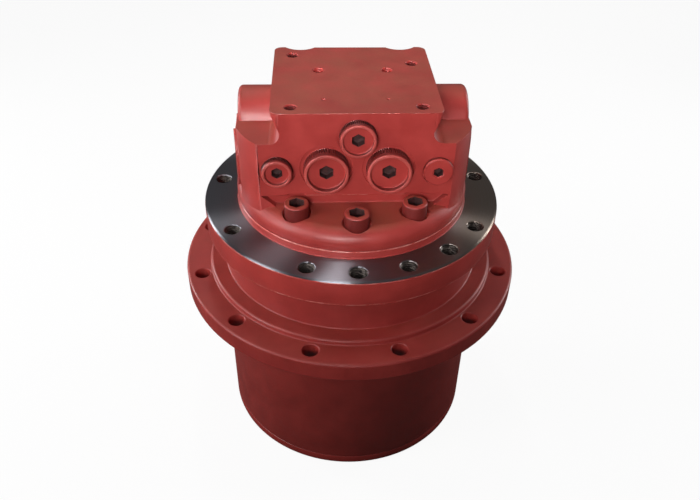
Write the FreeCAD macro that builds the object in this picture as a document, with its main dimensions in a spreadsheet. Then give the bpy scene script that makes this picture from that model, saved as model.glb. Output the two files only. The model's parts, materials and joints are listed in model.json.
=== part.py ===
"""Final drive of a compact excavator: a hydraulic travel motor inside a two-stage planetary hub.

The spin axis is Z. The origin lies on it at the bare mounting face of the frame flange, with the
valve block above and the sprocket hub below. The front, with its five plugs, faces -Y.
"""
import FreeCAD
import Part
import math
import os
import Sketcher
from FreeCAD import Placement, Rotation, Vector

# Driving dimensions, in millimetres, degrees and counts.
SIZES = {
    # motor case: frame flange, spigot and spindle
    "frame_flange_radius": 116.2,
    "frame_flange_thickness": 21.6,
    "frame_flange_chamfer": 1.0,
    "frame_bolt_circle": 105.0,
    "frame_bolt_radius": 6.0,
    "frame_bolt_count": 9,
    "frame_bolt_phase": 20.0,
    "frame_pin_radius": 6.5,
    "spigot_radius": 90.0,
    "spigot_height": 6.0,
    "case_bore_radius": 62.0,
    "case_shoulder_depth": 30.0,
    "swash_bore_radius": 53.0,
    "swash_floor_depth": 93.0,
    "case_neck_radius": 76.0,
    "spindle_radius": 67.0,
    "spindle_thread_radius": 64.0,
    "spindle_end_length": 7.0,
    # floating face seal
    "seal_land_radius": 80.0,
    "seal_housing_radius": 96.0,
    "seal_recess_depth": 8.0,
    "seal_face_depth": 31.0,
    "seal_ring_width": 5.4,
    "seal_ring_length": 16.0,
    "seal_foot_width": 12.0,
    "seal_foot_thickness": 4.0,
    "toric_length": 6.0,
    # hub
    "hub_top_depth": 23.2,
    "hub_neck_radius": 104.0,
    "pilot_radius": 116.9,
    "pilot_top_depth": 55.0,
    "sprocket_flange_radius": 137.0,
    "sprocket_flange_depth": 59.3,
    "sprocket_flange_thickness": 16.1,
    "sprocket_bolt_circle": 125.0,
    "sprocket_bolt_radius": 6.0,
    "sprocket_bolt_count": 12,
    "sprocket_bolt_phase": 14.2,
    "barrel_radius": 106.65,
    "edge_chamfer": 1.2,
    "relief_bore_radius": 90.6,
    # main bearings
    "bearing_outer_radius": 84.0,
    "bearing_width": 16.0,
    "bearing_top_depth": 48.0,
    "bearing_spacing": 45.5,
    "bearing_shoulder_radius": 79.0,
    "roller_radius": 4.4,
    "roller_length": 11.0,
    "roller_count": 12,
    "contact_angle": 15.0,
    "race_clearance": 0.12,
    "nut_outer_radius": 74.0,
    "nut_width": 8.0,
    # gears
    "gear_module": 2.25,
    "pressure_angle": 20.0,
    "profile_shift": 0.4,
    "ring_teeth": 78,
    "first_sun_teeth": 12,
    "first_planet_teeth": 33,
    "first_planet_count": 3,
    "second_sun_teeth": 18,
    "second_planet_teeth": 30,
    "second_planet_count": 4,
    "tooth_thinning": 0.16,
    "second_gear_width": 26.0,
    "first_gear_width": 16.0,
    "gear_side_gap": 1.0,
    "carrier_gap": 1.5,
    "ring_gear_radius": 94.0,
    "sun_bore_clearance": 2.0,
    "sun_end_button": 0.9,
    "second_pin_radius": 12.0,
    "first_pin_radius": 9.0,
    "running_clearance": 0.05,
    "seat_clearance": 0.02,
    "fixed_carrier_radius": 75.0,
    "fixed_carrier_upper_thickness": 14.0,
    "fixed_carrier_lower_thickness": 6.0,
    "fixed_carrier_bore_clearance": 3.0,
    "carrier_head_recess": 10.0,
    "carrier_post_radius": 8.0,
    "carrier_screw_circle": 36.0,
    "carrier_screw_radius": 5.0,
    "carrier_screw_head_radius": 8.0,
    "first_carrier_radius": 63.0,
    "first_carrier_thickness": 8.0,
    # end cover
    "cover_gap": 5.5,
    "cover_thickness": 8.5,
    "cover_spigot_length": 3.5,
    "cover_spigot_width": 4.0,
    "cover_boss_radius": 14.0,
    "cover_screw_length": 12.0,
    "cover_screw_circle": 99.5,
    "cover_screw_count": 8,
    "cover_screw_radius": 4.0,
    "cover_screw_head_radius": 6.5,
    "cover_screw_head_height": 4.4,
    "cover_plug_circle": 68.0,
    "cover_plug_radius": 10.0,
    # motor: timing plate, cylinder block, pistons, swash plate
    "timing_plate_radius": 44.0,
    "timing_plate_thickness": 4.0,
    "block_radius": 45.0,
    "block_length": 48.0,
    "piston_count": 9,
    "piston_circle": 34.0,
    "piston_radius": 7.5,
    "piston_head_depth": 14.0,
    "slipper_radius": 9.5,
    "slipper_pad_thickness": 3.5,
    "slipper_face_depth": 60.0,
    "slipper_neck_radius": 6.0,
    "slipper_lip": 2.8,
    "ball_radius": 4.5,
    "ball_height": 6.0,
    "piston_neck_length": 5.5,
    "swash_radius": 46.0,
    "swash_angle": 12.0,
    "swash_gap": 0.3,
    "swash_thickness": 12.0,
    "swash_hole_radius": 20.0,
    "swash_ball_radius": 5.0,
    "swash_ball_spread": 40.0,
    "swash_ball_lift": 3.0,
    "shaft_radius": 13.0,
    "shaft_top_radius": 11.0,
    "shaft_bearing_bore_radius": 15.0,
    "shaft_bearing_outer_radius": 31.0,
    "shaft_bearing_width": 16.0,
    "shaft_roller_radius": 4.5,
    "shaft_roller_count": 9,
    "shaft_tail_length": 10.0,
    "shaft_collar_length": 5.0,
    "bush_length": 15.3,
    "bush_thickness": 3.0,
    "quill_radius": 8.0,
    "quill_length": 28.0,
    "seal_width": 8.0,
    "shaft_seal_outer_radius": 24.0,
    # parking brake
    "brake_plate_thickness": 2.2,
    "steel_plate_count": 3,
    "steel_plate_bore": 48.0,
    "friction_plate_radius": 57.0,
    "brake_piston_bore": 48.5,
    "brake_piston_thickness": 13.0,
    "brake_spring_count": 8,
    "brake_spring_radius": 3.6,
    "brake_spring_circle": 55.5,
    "brake_spring_pocket": 8.0,
    # valve block
    "block_rim_height": 11.3,
    "block_shoulder_radius": 79.5,
    "pocket_floor_height": 21.0,
    "pocket_roof_height": 30.2,
    "pocket_half_width": 68.0,
    "pocket_back": 49.0,
    "front_face": 54.0,
    "rear_face": 59.5,
    "front_half_width": 68.8,
    "rear_half_width": 65.5,
    "block_half_width": 84.0,
    "block_envelope_radius": 89.2,
    "corner_depth": 30.0,
    "corner_radius": 60.0,
    "ledge_height": 72.0,
    "foot_radius": 10.5,
    "pocket_floor_half_width": 57.4,
    "rear_step_height": 44.0,
    "rear_step_half_width": 61.0,
    "rear_step_front": 20.0,
    "rear_apron_height": 38.0,
    "scoop_radius": 8.0,
    "scoop_half_width": 52.6,
    "deck_rise": 23.0,
    "deck_half_width": 59.0,
    "deck_corner_radius": 6.0,
    "spool_axis_height": 37.0,
    "side_axis_back": 2.0,
    "spool_boss_radius": 27.0,
    "relief_axis_height": 66.0,
    "relief_boss_radius": 22.0,
    "boss_edge_radius": 3.5,
    "scallop_radius": 15.1,
    "scallop_depth": 5.3,
    "scallop_offset": 39.0,
    "block_screw_circle": 75.0,
    "block_screw_count": 3,
    "block_screw_step": 34.4,
    "block_screw_radius": 6.0,
    "block_screw_head_radius": 9.0,
    "block_screw_seat_height": 17.5,
    "block_screw_head_height": 12.0,
    "block_screw_length": 28.0,
    "block_screw_socket": 10.0,
    "screw_clearance": 0.3,
    "spotface_radius": 10.6,
    "screw_relief_height": 32.0,
    "deck_bolt_radius": 4.25,
    "deck_bolt_depth": 18.0,
    "deck_bolt_x": 45.0,
    "deck_bolt_y": 44.0,
    "deck_blind_radius": 4.0,
    "deck_blind_depth": 5.0,
    "deck_mark_radius": 1.1,
    "deck_mark_depth": 0.8,
    "deck_mark_x": 22.3,
    "deck_mark_y": 32.5,
    "deck_blind_x": 25.5,
    "deck_blind_y": 16.0,
    "spool_radius": 10.0,
    "spool_length": 92.0,
    "spool_travel": 6.0,
    "spool_waist_radius": 7.0,
    "spool_spring_radius": 7.5,
    "spool_groove_start": 10.0,
    "spool_groove_end": 26.0,
    "spool_plug_radius": 13.0,
    "spool_plug_face": 87.0,
    "spool_plug_length": 24.0,
    "relief_plug_radius": 13.0,
    "relief_plug_length": 36.0,
    "side_plug_socket": 10.0,
    # front plugs: height, head, cup, hexagon socket and bore
    "top_plug_x": 0.7,
    "top_plug_z": 77.3,
    "top_plug_head_radius": 13.1,
    "top_plug_proud": 7.4,
    "top_plug_cup_radius": 10.5,
    "top_plug_cup_depth": 2.2,
    "top_plug_spot_radius": 14.6,
    "top_plug_socket": 8.0,
    "top_plug_bore_radius": 9.0,
    "top_plug_bore_depth": 88.0,
    "left_plug_x": -55.5,
    "left_plug_z": 51.4,
    "left_plug_head_radius": 11.0,
    "left_plug_proud": 6.4,
    "left_plug_cup_radius": 8.5,
    "left_plug_cup_depth": 2.0,
    "left_plug_spot_radius": 13.2,
    "left_plug_socket": 7.0,
    "left_plug_bore_radius": 8.0,
    "left_plug_bore_depth": 20.0,
    "large_plug_x": 21.9,
    "large_plug_shift": 0.9,
    "large_plug_z": 52.8,
    "large_plug_head_radius": 16.1,
    "large_plug_proud": 9.5,
    "large_plug_cup_radius": 13.3,
    "large_plug_cup_depth": 2.8,
    "large_plug_spot_radius": 18.4,
    "large_plug_socket": 9.0,
    "large_plug_bore_radius": 13.5,
    "large_plug_bore_depth": 26.0,
    "right_plug_x": 58.0,
    "right_plug_z": 50.2,
    "right_plug_head_radius": 10.9,
    "right_plug_proud": 3.0,
    "right_plug_cup_radius": 4.4,
    "right_plug_cup_depth": 0.4,
    "right_plug_spot_radius": 11.9,
    "right_plug_socket": 6.0,
    "right_plug_bore_radius": 8.0,
    "right_plug_bore_depth": 20.0,
    "plug_spot_depth": 0.8,
    "plug_shank_length": 13.0,
    "plug_socket_depth": 5.0,
    "plug_edge_chamfer": 1.0,
    # rear ports
    "main_port_radius": 9.5,
    "main_port_depth": 18.0,
    "main_port_spread": 24.0,
    "small_port_depth": 14.0,
    "main_port_height": 52.0,
    "drain_port_radius": 7.5,
    "drain_port_offset": 0.0,
    "drain_port_height": 78.0,
    "pilot_port_radius": 5.8,
    "pilot_port_offset": 19.5,
    "pilot_port_height": 78.0,
}


class Size:
    """A dimension that carries its number and the sheet expression it came from."""

    def __init__(self, number, text):
        self.number = float(number)
        self.text = text

    def __add__(self, other):
        return combined(self, other, "+")

    def __radd__(self, other):
        return combined(other, self, "+")

    def __sub__(self, other):
        return combined(self, other, "-")

    def __rsub__(self, other):
        return combined(other, self, "-")

    def __mul__(self, other):
        return combined(self, other, "*")

    def __rmul__(self, other):
        return combined(other, self, "*")

    def __truediv__(self, other):
        return combined(self, other, "/")

    def __neg__(self):
        return combined(0.0, self, "-")


def as_size(value):
    if isinstance(value, Size):
        return value
    return Size(value, "%.9g" % value if value >= 0 else "(%.9g)" % value)


def combined(left, right, sign):
    left = as_size(left)
    right = as_size(right)
    results = {
        "+": left.number + right.number,
        "-": left.number - right.number,
        "*": left.number * right.number,
    }
    if sign == "/":
        results["/"] = left.number / right.number
    return Size(results[sign], "(%s %s %s)" % (left.text, sign, right.text))


class Sheet:
    """The named sizes, as s.name."""


doc = FreeCAD.newDocument("final_drive")
cells = doc.addObject("Spreadsheet::Sheet", "Sizes")
s = Sheet()
for row, (word, number) in enumerate(SIZES.items(), start=1):
    cells.set("A%d" % row, word)
    cells.set("B%d" % row, str(number))
    cells.setAlias("B%d" % row, word)
    setattr(s, word, Size(number, "Sizes." + word))
doc.recompute()

# Depths that follow from what stands above them along the axis.
s.spindle_length = s.swash_floor_depth + s.shaft_bearing_width + s.seal_width + s.spindle_end_length
s.shaft_bottom_depth = s.spindle_length + s.shaft_tail_length
s.second_gear_depth = s.spindle_length + s.fixed_carrier_upper_thickness + s.gear_side_gap
s.carrier_bottom_depth = (s.second_gear_depth + s.second_gear_width + s.gear_side_gap
                          + s.fixed_carrier_lower_thickness)
s.first_gear_depth = s.carrier_bottom_depth + s.carrier_gap * 2.0 + s.first_carrier_thickness
s.hub_bottom_depth = s.first_gear_depth + s.first_gear_width + s.cover_gap
s.deck_height = s.ledge_height + s.deck_rise

sub_parts = []


def origin_feature(body, role):
    for feature in body.Origin.OriginFeatures:
        if feature.Role == role:
            return feature


def new_body(label):
    body = doc.addObject("PartDesign::Body", label)
    body.Label = label
    body.AllowCompound = True
    sub_parts.append(body)
    return body


def new_shape(label, shape, place=None):
    """A sub-part whose shape is worked out directly, such as a toothed wheel."""
    feature = doc.addObject("Part::Feature", label)
    feature.Label = label
    feature.Shape = shape
    feature.Placement = place or Placement()
    sub_parts.append(feature)
    return feature


def bind(thing, prop, size):
    thing.setExpression(prop, as_size(size).text)


def new_sketch(body, name, plane, at):
    """A sketch on an origin plane of the body, its origin moved by at in the plane's own axes."""
    sketch = body.newObject("Sketcher::SketchObject", name + "_sketch")
    sketch.AttachmentSupport = [(origin_feature(body, plane), "")]
    sketch.MapMode = "FlatFace"
    for axis, size in zip("xyz", at):
        bind(sketch, "AttachmentOffset.Base." + axis, size)
    return sketch


def fix_point(sketch, edge, end, x, y):
    """Holds a point of an edge at x, y from the sketch's origin."""
    for kind, size in (("DistanceX", x), ("DistanceY", y)):
        size = as_size(size)
        index = sketch.addConstraint(Sketcher.Constraint(kind, -1, 1, edge, end, size.number))
        bind(sketch, "Constraints[%d]" % index, size)


def draw_outline(sketch, corners):
    """A closed outline. A third value in a corner is the radius of the arc that arrives there.

    A positive radius turns to the left along the way, a negative one to the right.
    """
    ends = []
    count = len(corners)
    for index in range(count):
        start = corners[index]
        stop = corners[(index + 1) % count]
        first = Vector(as_size(start[0]).number, as_size(start[1]).number, 0)
        last = Vector(as_size(stop[0]).number, as_size(stop[1]).number, 0)
        if len(stop) == 2:
            edge = sketch.addGeometry(Part.LineSegment(first, last), False)
            ends.append((edge, 1, 2))
            continue
        radius = as_size(stop[2])
        chord = last - first
        left = Vector(-chord.y, chord.x, 0).normalize()
        rise = math.sqrt(max(radius.number ** 2 - chord.Length ** 2 / 4, 0.0))
        side = 1 if radius.number > 0 else -1
        centre = (first + last) * 0.5 + left * (rise * side)
        circle = Part.Circle(centre, Vector(0, 0, 1), abs(radius.number))
        begin, finish = (first, last) if side > 0 else (last, first)
        angles = [math.atan2(point.y - centre.y, point.x - centre.x) for point in (begin, finish)]
        if angles[1] <= angles[0]:
            angles[1] += 2 * math.pi
        edge = sketch.addGeometry(Part.ArcOfCircle(circle, angles[0], angles[1]), False)
        ends.append((edge, 1, 2) if side > 0 else (edge, 2, 1))
        index_of_radius = sketch.addConstraint(Sketcher.Constraint("Radius", edge, abs(radius.number)))
        bind(sketch, "Constraints[%d]" % index_of_radius, radius * side)
    for index in range(count):
        edge, begin, finish = ends[index]
        before = ends[index - 1]
        sketch.addConstraint(Sketcher.Constraint("Coincident", before[0], before[2], edge, begin))
        fix_point(sketch, edge, begin, corners[index][0], corners[index][1])


def draw_circle(sketch, x, y, radius):
    radius = as_size(radius)
    centre = Vector(as_size(x).number, as_size(y).number, 0)
    edge = sketch.addGeometry(Part.Circle(centre, Vector(0, 0, 1), radius.number), False)
    index = sketch.addConstraint(Sketcher.Constraint("Radius", edge, radius.number))
    bind(sketch, "Constraints[%d]" % index, radius)
    fix_point(sketch, edge, 3, x, y)


def turn(body, name, corners, plane="XZ_Plane", axis="V_Axis", at=(0, 0, 0), cut=False):
    """A turned form, or a turned cut, about an axis of its sketch."""
    sketch = new_sketch(body, name, plane, at)
    draw_outline(sketch, corners)
    feature = body.newObject("PartDesign::Groove" if cut else "PartDesign::Revolution", name)
    feature.Profile = sketch
    feature.ReferenceAxis = (sketch, [axis])
    feature.Angle = 360
    body.Tip = feature
    return feature


def extrude(body, name, plane, at, length, outlines=(), circles=(), cut=False, back=False):
    """A pad, or a pocket when cut is set. A pad goes along the plane's normal, a pocket against it."""
    sketch = new_sketch(body, name, plane, at)
    for corners in outlines:
        draw_outline(sketch, corners)
    for x, y, radius in circles:
        draw_circle(sketch, x, y, radius)
    feature = body.newObject("PartDesign::Pocket" if cut else "PartDesign::Pad", name)
    feature.Profile = sketch
    feature.Type = "Length"
    feature.Reversed = back
    bind(feature, "Length", length)
    body.Tip = feature
    return feature


def repeat_around(body, name, features, count, angle=360.0):
    """Copies features about the spin axis."""
    pattern = body.newObject("PartDesign::PolarPattern", name)
    pattern.Originals = features
    pattern.Axis = (origin_feature(body, "Z_Axis"), [""])
    pattern.Angle = angle
    bind(pattern, "Occurrences", count)
    body.Tip = pattern
    return pattern


def on_circle(radius, degrees, first=90.0):
    """A point on a circle, its angle measured from the front towards the right."""
    angle = math.radians(degrees - first)
    return radius * math.cos(angle), radius * math.sin(angle)


def ball_outline(radius):
    """Half a circle, to be turned about its sketch's upright axis."""
    return [(0.0, radius), (radius, 0.0, -radius), (0.0, -radius, -radius)]


def hexagon(flats, x=0.0, y=0.0):
    """Corners of a hexagon socket with the given width across flats."""
    radius = as_size(flats) * (1.0 / math.sqrt(3.0))
    steps = [math.radians(60 * step) for step in range(6)]
    return [(x + radius * math.cos(step), y + radius * math.sin(step)) for step in steps]


# Motor case: one casting with the frame flange, the spigot for the valve block, the chamber of the
# rotating group and the spindle that carries both main bearings.
def build_motor_case():
    body = new_body("motor_case")
    chamfer = s.frame_flange_chamfer
    bearing_floor = s.swash_floor_depth + s.shaft_bearing_width
    seal_floor = bearing_floor + s.seal_width
    exit_radius = s.shaft_bearing_bore_radius + 3.0
    turn(body, "case_form", [
        (s.case_bore_radius, s.spigot_height),
        (s.spigot_radius, s.spigot_height),
        (s.spigot_radius, 0.0),
        (s.frame_flange_radius - chamfer, 0.0),
        (s.frame_flange_radius, -chamfer),
        (s.frame_flange_radius, chamfer - s.frame_flange_thickness),
        (s.frame_flange_radius - chamfer, -s.frame_flange_thickness),
        (s.seal_housing_radius, -s.frame_flange_thickness),
        (s.seal_housing_radius, s.seal_recess_depth - s.frame_flange_thickness),
        (s.seal_land_radius, s.seal_recess_depth - s.frame_flange_thickness),
        (s.seal_land_radius, -s.frame_flange_thickness),
        (s.case_neck_radius, -s.frame_flange_thickness),
        (s.case_neck_radius, -s.bearing_top_depth),
        (s.spindle_radius, -s.bearing_top_depth),
        (s.spindle_radius, -s.bearing_top_depth - s.bearing_spacing - s.bearing_width),
        (s.spindle_thread_radius, -s.bearing_top_depth - s.bearing_spacing - s.bearing_width),
        (s.spindle_thread_radius, -s.spindle_length),
        (exit_radius, -s.spindle_length),
        (exit_radius, -seal_floor),
        (s.shaft_seal_outer_radius, -seal_floor),
        (s.shaft_seal_outer_radius, -bearing_floor),
        (s.shaft_bearing_outer_radius, -bearing_floor),
        (s.shaft_bearing_outer_radius, -s.swash_floor_depth),
        (s.swash_bore_radius, -s.swash_floor_depth),
        (s.swash_bore_radius, -s.case_shoulder_depth),
        (s.case_bore_radius, -s.case_shoulder_depth),
    ])
    x, y = on_circle(s.frame_bolt_circle, s.frame_bolt_phase.number)
    hole = extrude(body, "frame_hole", "XY_Plane", (0, 0, 0), s.frame_flange_thickness,
                   circles=[(x, y, s.frame_bolt_radius)], cut=True)
    repeat_around(body, "frame_holes", [hole], s.frame_bolt_count)
    pins = [on_circle(s.frame_bolt_circle, angle) for angle in (0.0, 2.0 * s.frame_bolt_phase.number)]
    extrude(body, "frame_pin_holes", "XY_Plane", (0, 0, 0), s.frame_flange_thickness,
            circles=[(x, y, s.frame_pin_radius) for x, y in pins], cut=True)
    step = s.block_screw_step.number
    depth = s.block_screw_length - s.block_screw_seat_height + s.spigot_height + 1.0
    for word, middle in (("front", 0.0), ("rear", 180.0)):
        x, y = on_circle(s.block_screw_circle, middle - step)
        hole = extrude(body, "%s_screw_hole" % word, "XY_Plane", (0, 0, s.spigot_height), depth,
                       circles=[(x, y, s.block_screw_radius)], cut=True)
        repeat_around(body, "%s_screw_holes" % word, [hole], s.block_screw_count, 2.0 * step)
    x, y = on_circle(s.carrier_screw_circle, 22.5)
    hole = extrude(body, "carrier_screw_hole", "XY_Plane", (0, 0, -s.spindle_length), 11.0,
                   circles=[(x, y, s.carrier_screw_radius)], cut=True, back=True)
    repeat_around(body, "carrier_screw_holes", [hole], 8)
    seat = s.swash_ball_radius + s.seat_clearance
    for index, side in enumerate((-1, 1)):
        turn(body, "pivot_seat_%d" % index, ball_outline(seat),
             at=(side * s.swash_ball_spread, -swash_pivot_depth(), 0.0), cut=True)


# Floating face seal: two lapped rings, each pressed on by a rubber ring in its housing.
def build_face_seal():
    inner = s.seal_land_radius + 1.0
    outer = inner + s.seal_ring_width
    foot = inner + s.seal_foot_width
    face = s.seal_face_depth
    toric_outer = s.seal_housing_radius - s.seat_clearance
    for label, toric, side in (("fixed_seal_ring", "fixed_seal_toric", 1),
                               ("rotating_seal_ring", "rotating_seal_toric", -1)):
        ring = new_body(label)
        turn(ring, label + "_form", [
            (inner, -face),
            (foot, -face),
            (foot, -face + side * s.seal_foot_thickness),
            (outer, -face + side * (s.seal_foot_thickness + 1.5)),
            (outer, -face + side * s.seal_ring_length),
            (inner, -face + side * s.seal_ring_length),
        ])
        rubber = new_body(toric)
        low = -face + side * (s.seal_ring_length - s.toric_length)
        high = low + side * s.toric_length
        bulge = s.toric_length * 0.25
        near = outer + s.seat_clearance
        turn(rubber, toric + "_form", [
            (near, low + side * bulge),
            (near + bulge, low),
            (toric_outer - bulge, low),
            (toric_outer, low + side * bulge),
            (toric_outer, high - side * bulge),
            (toric_outer - bulge, high),
            (near + bulge, high),
            (near, high - side * bulge),
        ])


# Main bearings: two tapered roller bearings, opposed, on the spindle.
def build_main_bearings():
    angle = math.radians(s.contact_angle.number)
    centre_radius = (s.spindle_radius + s.bearing_outer_radius) * 0.5
    offset = s.roller_radius + s.race_clearance
    half = s.bearing_width * 0.5
    for word, side, middle in (
        ("upper", 1, -s.bearing_top_depth - half),
        ("lower", -1, -s.bearing_top_depth - s.bearing_spacing - half),
    ):
        # The roller axis leans by the contact angle, its wide side away from the other bearing.
        lean = side * math.tan(angle)
        across = offset / math.cos(angle)
        top = middle + half
        bottom = middle - half
        inner = new_body(word + "_bearing_inner_ring")
        turn(inner, word + "_inner_form", [
            (s.spindle_radius + s.seat_clearance, bottom),
            (centre_radius - across + half * (-1 * lean), bottom),
            (centre_radius - across + half * lean, top),
            (s.spindle_radius + s.seat_clearance, top),
        ])
        outer = new_body(word + "_bearing_outer_ring")
        turn(outer, word + "_outer_form", [
            (centre_radius + across + half * (-1 * lean), bottom),
            (s.bearing_outer_radius - s.seat_clearance, bottom),
            (s.bearing_outer_radius - s.seat_clearance, top),
            (centre_radius + across + half * lean, top),
        ])
        rollers = new_body(word + "_bearing_rollers")
        sketch = new_sketch(rollers, word + "_roller", "XZ_Plane", (centre_radius, middle, 0.0))
        sketch.setExpression("AttachmentOffset.Rotation.Angle", "%d * Sizes.contact_angle * 1 deg" % (-side))
        length = s.roller_length * 0.5
        draw_outline(sketch, [(0.0, -length), (s.roller_radius, -length), (s.roller_radius, length),
                              (0.0, length)])
        roller = rollers.newObject("PartDesign::Revolution", word + "_roller")
        roller.Profile = sketch
        roller.ReferenceAxis = (sketch, ["V_Axis"])
        roller.Angle = 360
        rollers.Tip = roller
        repeat_around(rollers, word + "_rollers", [roller], s.roller_count)
    nut = new_body("bearing_nut")
    nut_top = -s.bearing_top_depth - s.bearing_spacing - s.bearing_width
    turn(nut, "nut_form", [
        (s.spindle_thread_radius + s.seat_clearance, nut_top),
        (s.nut_outer_radius, nut_top),
        (s.nut_outer_radius, nut_top - s.nut_width),
        (s.spindle_thread_radius + s.seat_clearance, nut_top - s.nut_width),
    ])
    slot = extrude(nut, "nut_slot", "XY_Plane", (0, 0, nut_top - s.nut_width), 4.0, outlines=[[
        (s.nut_outer_radius - 4.0, -4.0),
        (s.nut_outer_radius + 4.0, -4.0),
        (s.nut_outer_radius + 4.0, 4.0),
        (s.nut_outer_radius - 4.0, 4.0),
    ]], cut=True, back=True)
    repeat_around(nut, "nut_slots", [slot], 4)


def involute_angle(radius, base_radius):
    """Angle swept by an involute from its base circle out to a radius."""
    roll = math.sqrt(max((radius / base_radius) ** 2 - 1.0, 0.0))
    return roll - math.atan(roll)


def gear_wire(teeth, tip, root, thickness, phase=0.0):
    """Outline of a toothed wheel. thickness is the tooth's width along the pitch circle.

    The first tooth, or for an internal ring the first space, points along the phase angle.
    """
    pressure = math.radians(s.pressure_angle.number)
    pitch = s.gear_module.number * teeth / 2.0
    base = pitch * math.cos(pressure)
    half_at_pitch = thickness / (2.0 * pitch)
    reference = half_at_pitch + involute_angle(pitch, base)

    def half_angle(radius):
        return reference - involute_angle(max(radius, base), base)

    middle = (max(root, base) + tip) / 2.0
    edges = []
    step = 2.0 * math.pi / teeth

    def point(radius, angle):
        return Vector(radius * math.cos(angle), radius * math.sin(angle), 0)

    for index in range(teeth):
        axis = phase + index * step
        root_half = half_angle(root)
        tip_half = half_angle(tip)
        mid_half = half_angle(middle)
        low = point(root, axis - root_half)
        high = point(tip, axis - tip_half)
        edges.append(Part.Arc(low, point(middle, axis - mid_half), high).toShape())
        far = point(tip, axis + tip_half)
        edges.append(Part.LineSegment(high, far).toShape())
        down = point(root, axis + root_half)
        edges.append(Part.Arc(far, point(middle, axis + mid_half), down).toShape())
        following = point(root, axis + step - root_half)
        edges.append(Part.LineSegment(down, following).toShape())
    return Part.Wire(edges)


def external_gear(teeth, shift, width, phase=0.0):
    """Solid of an external spur gear from z = 0 up. shift is its profile shift in modules."""
    module = s.gear_module.number
    pressure = math.radians(s.pressure_angle.number)
    pitch = module * teeth / 2.0
    tip = pitch + module * (1.0 + shift)
    root = pitch - module * (1.25 - shift)
    thickness = module * (math.pi / 2.0 + 2.0 * shift * math.tan(pressure)) - s.tooth_thinning.number
    wire = gear_wire(teeth, tip, root, thickness, phase)
    return Part.Face(wire).extrude(Vector(0, 0, width))


def internal_teeth(width):
    """Solid that cuts the teeth of the ring gear: its own teeth are the ring's spaces."""
    module = s.gear_module.number
    shift = s.profile_shift.number
    pressure = math.radians(s.pressure_angle.number)
    teeth = int(s.ring_teeth.number)
    pitch = module * teeth / 2.0
    tip = pitch - module * (1.0 + shift)
    root = pitch + module * (1.25 - shift)
    space = module * (math.pi / 2.0 - 2.0 * shift * math.tan(pressure)) + s.tooth_thinning.number
    return Part.Face(gear_wire(teeth, root, tip, space)).extrude(Vector(0, 0, width))


def centre_distance(sun_teeth, planet_teeth):
    return s.gear_module * (sun_teeth + planet_teeth) * 0.5


def planet_phase(place, teeth):
    """Turn of a planet whose tooth fills the ring space nearest to it. place is its own angle."""
    ring_step = 2.0 * math.pi / s.ring_teeth.number
    offset = (-place) % ring_step
    return place + offset * s.ring_teeth.number / teeth


def sun_phase(place, planet_teeth, sun_teeth):
    """Turn of the sun that meshes with the planet at an angle."""
    planet_step = 2.0 * math.pi / planet_teeth
    space = planet_phase(place, planet_teeth) + planet_step / 2.0
    offset = (space - place - math.pi) % planet_step
    return place - offset * planet_teeth / sun_teeth


def disc(radius, low, high):
    return Part.makeCylinder(radius, high - low, Vector(0, 0, low))


# Planets: case-hardened spur gears with ground bores, each on its own pin.
def build_planets():
    stages = (
        ("first", s.first_sun_teeth, s.first_planet_teeth, s.first_planet_count,
         s.first_gear_depth, s.first_gear_width, s.first_pin_radius, 90.0),
        ("second", s.second_sun_teeth, s.second_planet_teeth, s.second_planet_count,
         s.second_gear_depth, s.second_gear_width, s.second_pin_radius, 0.0),
    )
    for word, sun_teeth, teeth, count, depth, width, pin, first_place in stages:
        distance = centre_distance(sun_teeth, teeth).number
        for index in range(int(count.number)):
            place = math.radians(first_place + 360.0 * index / count.number)
            gear = external_gear(int(teeth.number), -s.profile_shift.number, width.number,
                                 planet_phase(place, teeth.number))
            gear = gear.cut(disc(pin.number + s.running_clearance.number, 0.0, width.number))
            spot = Vector(distance * math.cos(place), distance * math.sin(place),
                          -depth.number - width.number)
            new_shape("%s_stage_planet_%d" % (word, index + 1), gear, Placement(spot, Rotation()))


# Suns: the first is one piece with its quill, the second has a tail fixed in the first carrier.
def build_suns():
    shift = s.profile_shift.number
    depth = s.first_gear_depth.number
    width = s.first_gear_width.number
    place = math.radians(90.0)
    teeth = int(s.first_sun_teeth.number)
    phase = sun_phase(place, s.first_planet_teeth.number, teeth)
    gear = external_gear(teeth, shift, width, phase)
    gear.translate(Vector(0, 0, -depth - width))
    quill_top = s.quill_length.number - s.shaft_bottom_depth.number
    quill = disc(s.quill_radius.number - s.seat_clearance.number, -depth, quill_top)
    button = disc(s.quill_radius.number * 0.8, -depth - width - s.sun_end_button.number, -depth - width)
    new_shape("first_stage_sun", gear.fuse([quill, button]).removeSplitter())

    depth = s.second_gear_depth.number
    width = s.second_gear_width.number
    teeth = int(s.second_sun_teeth.number)
    phase = sun_phase(0.0, s.second_planet_teeth.number, teeth)
    gear = external_gear(teeth, shift, width, phase)
    gear.translate(Vector(0, 0, -depth - width))
    tail_end = first_carrier_top().number - s.first_carrier_thickness.number
    tail = disc(sun_tail_radius().number - s.seat_clearance.number, tail_end, -depth - width)
    bore = disc(s.quill_radius.number + s.sun_bore_clearance.number, tail_end, -depth)
    new_shape("second_stage_sun", gear.fuse(tail).cut(bore).removeSplitter())


def sun_tail_radius():
    """Just inside the root circle of the second sun."""
    return s.gear_module * (s.second_sun_teeth * 0.5 - 1.6 + s.profile_shift)


def first_carrier_top():
    return -(s.carrier_bottom_depth + s.carrier_gap)


def fixed_plate_bottom():
    """Lower face of the fixed carrier's upper plate."""
    return -(s.second_gear_depth - s.gear_side_gap)


def lower_plate_top():
    return -(s.second_gear_depth + s.second_gear_width + s.gear_side_gap)


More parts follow.
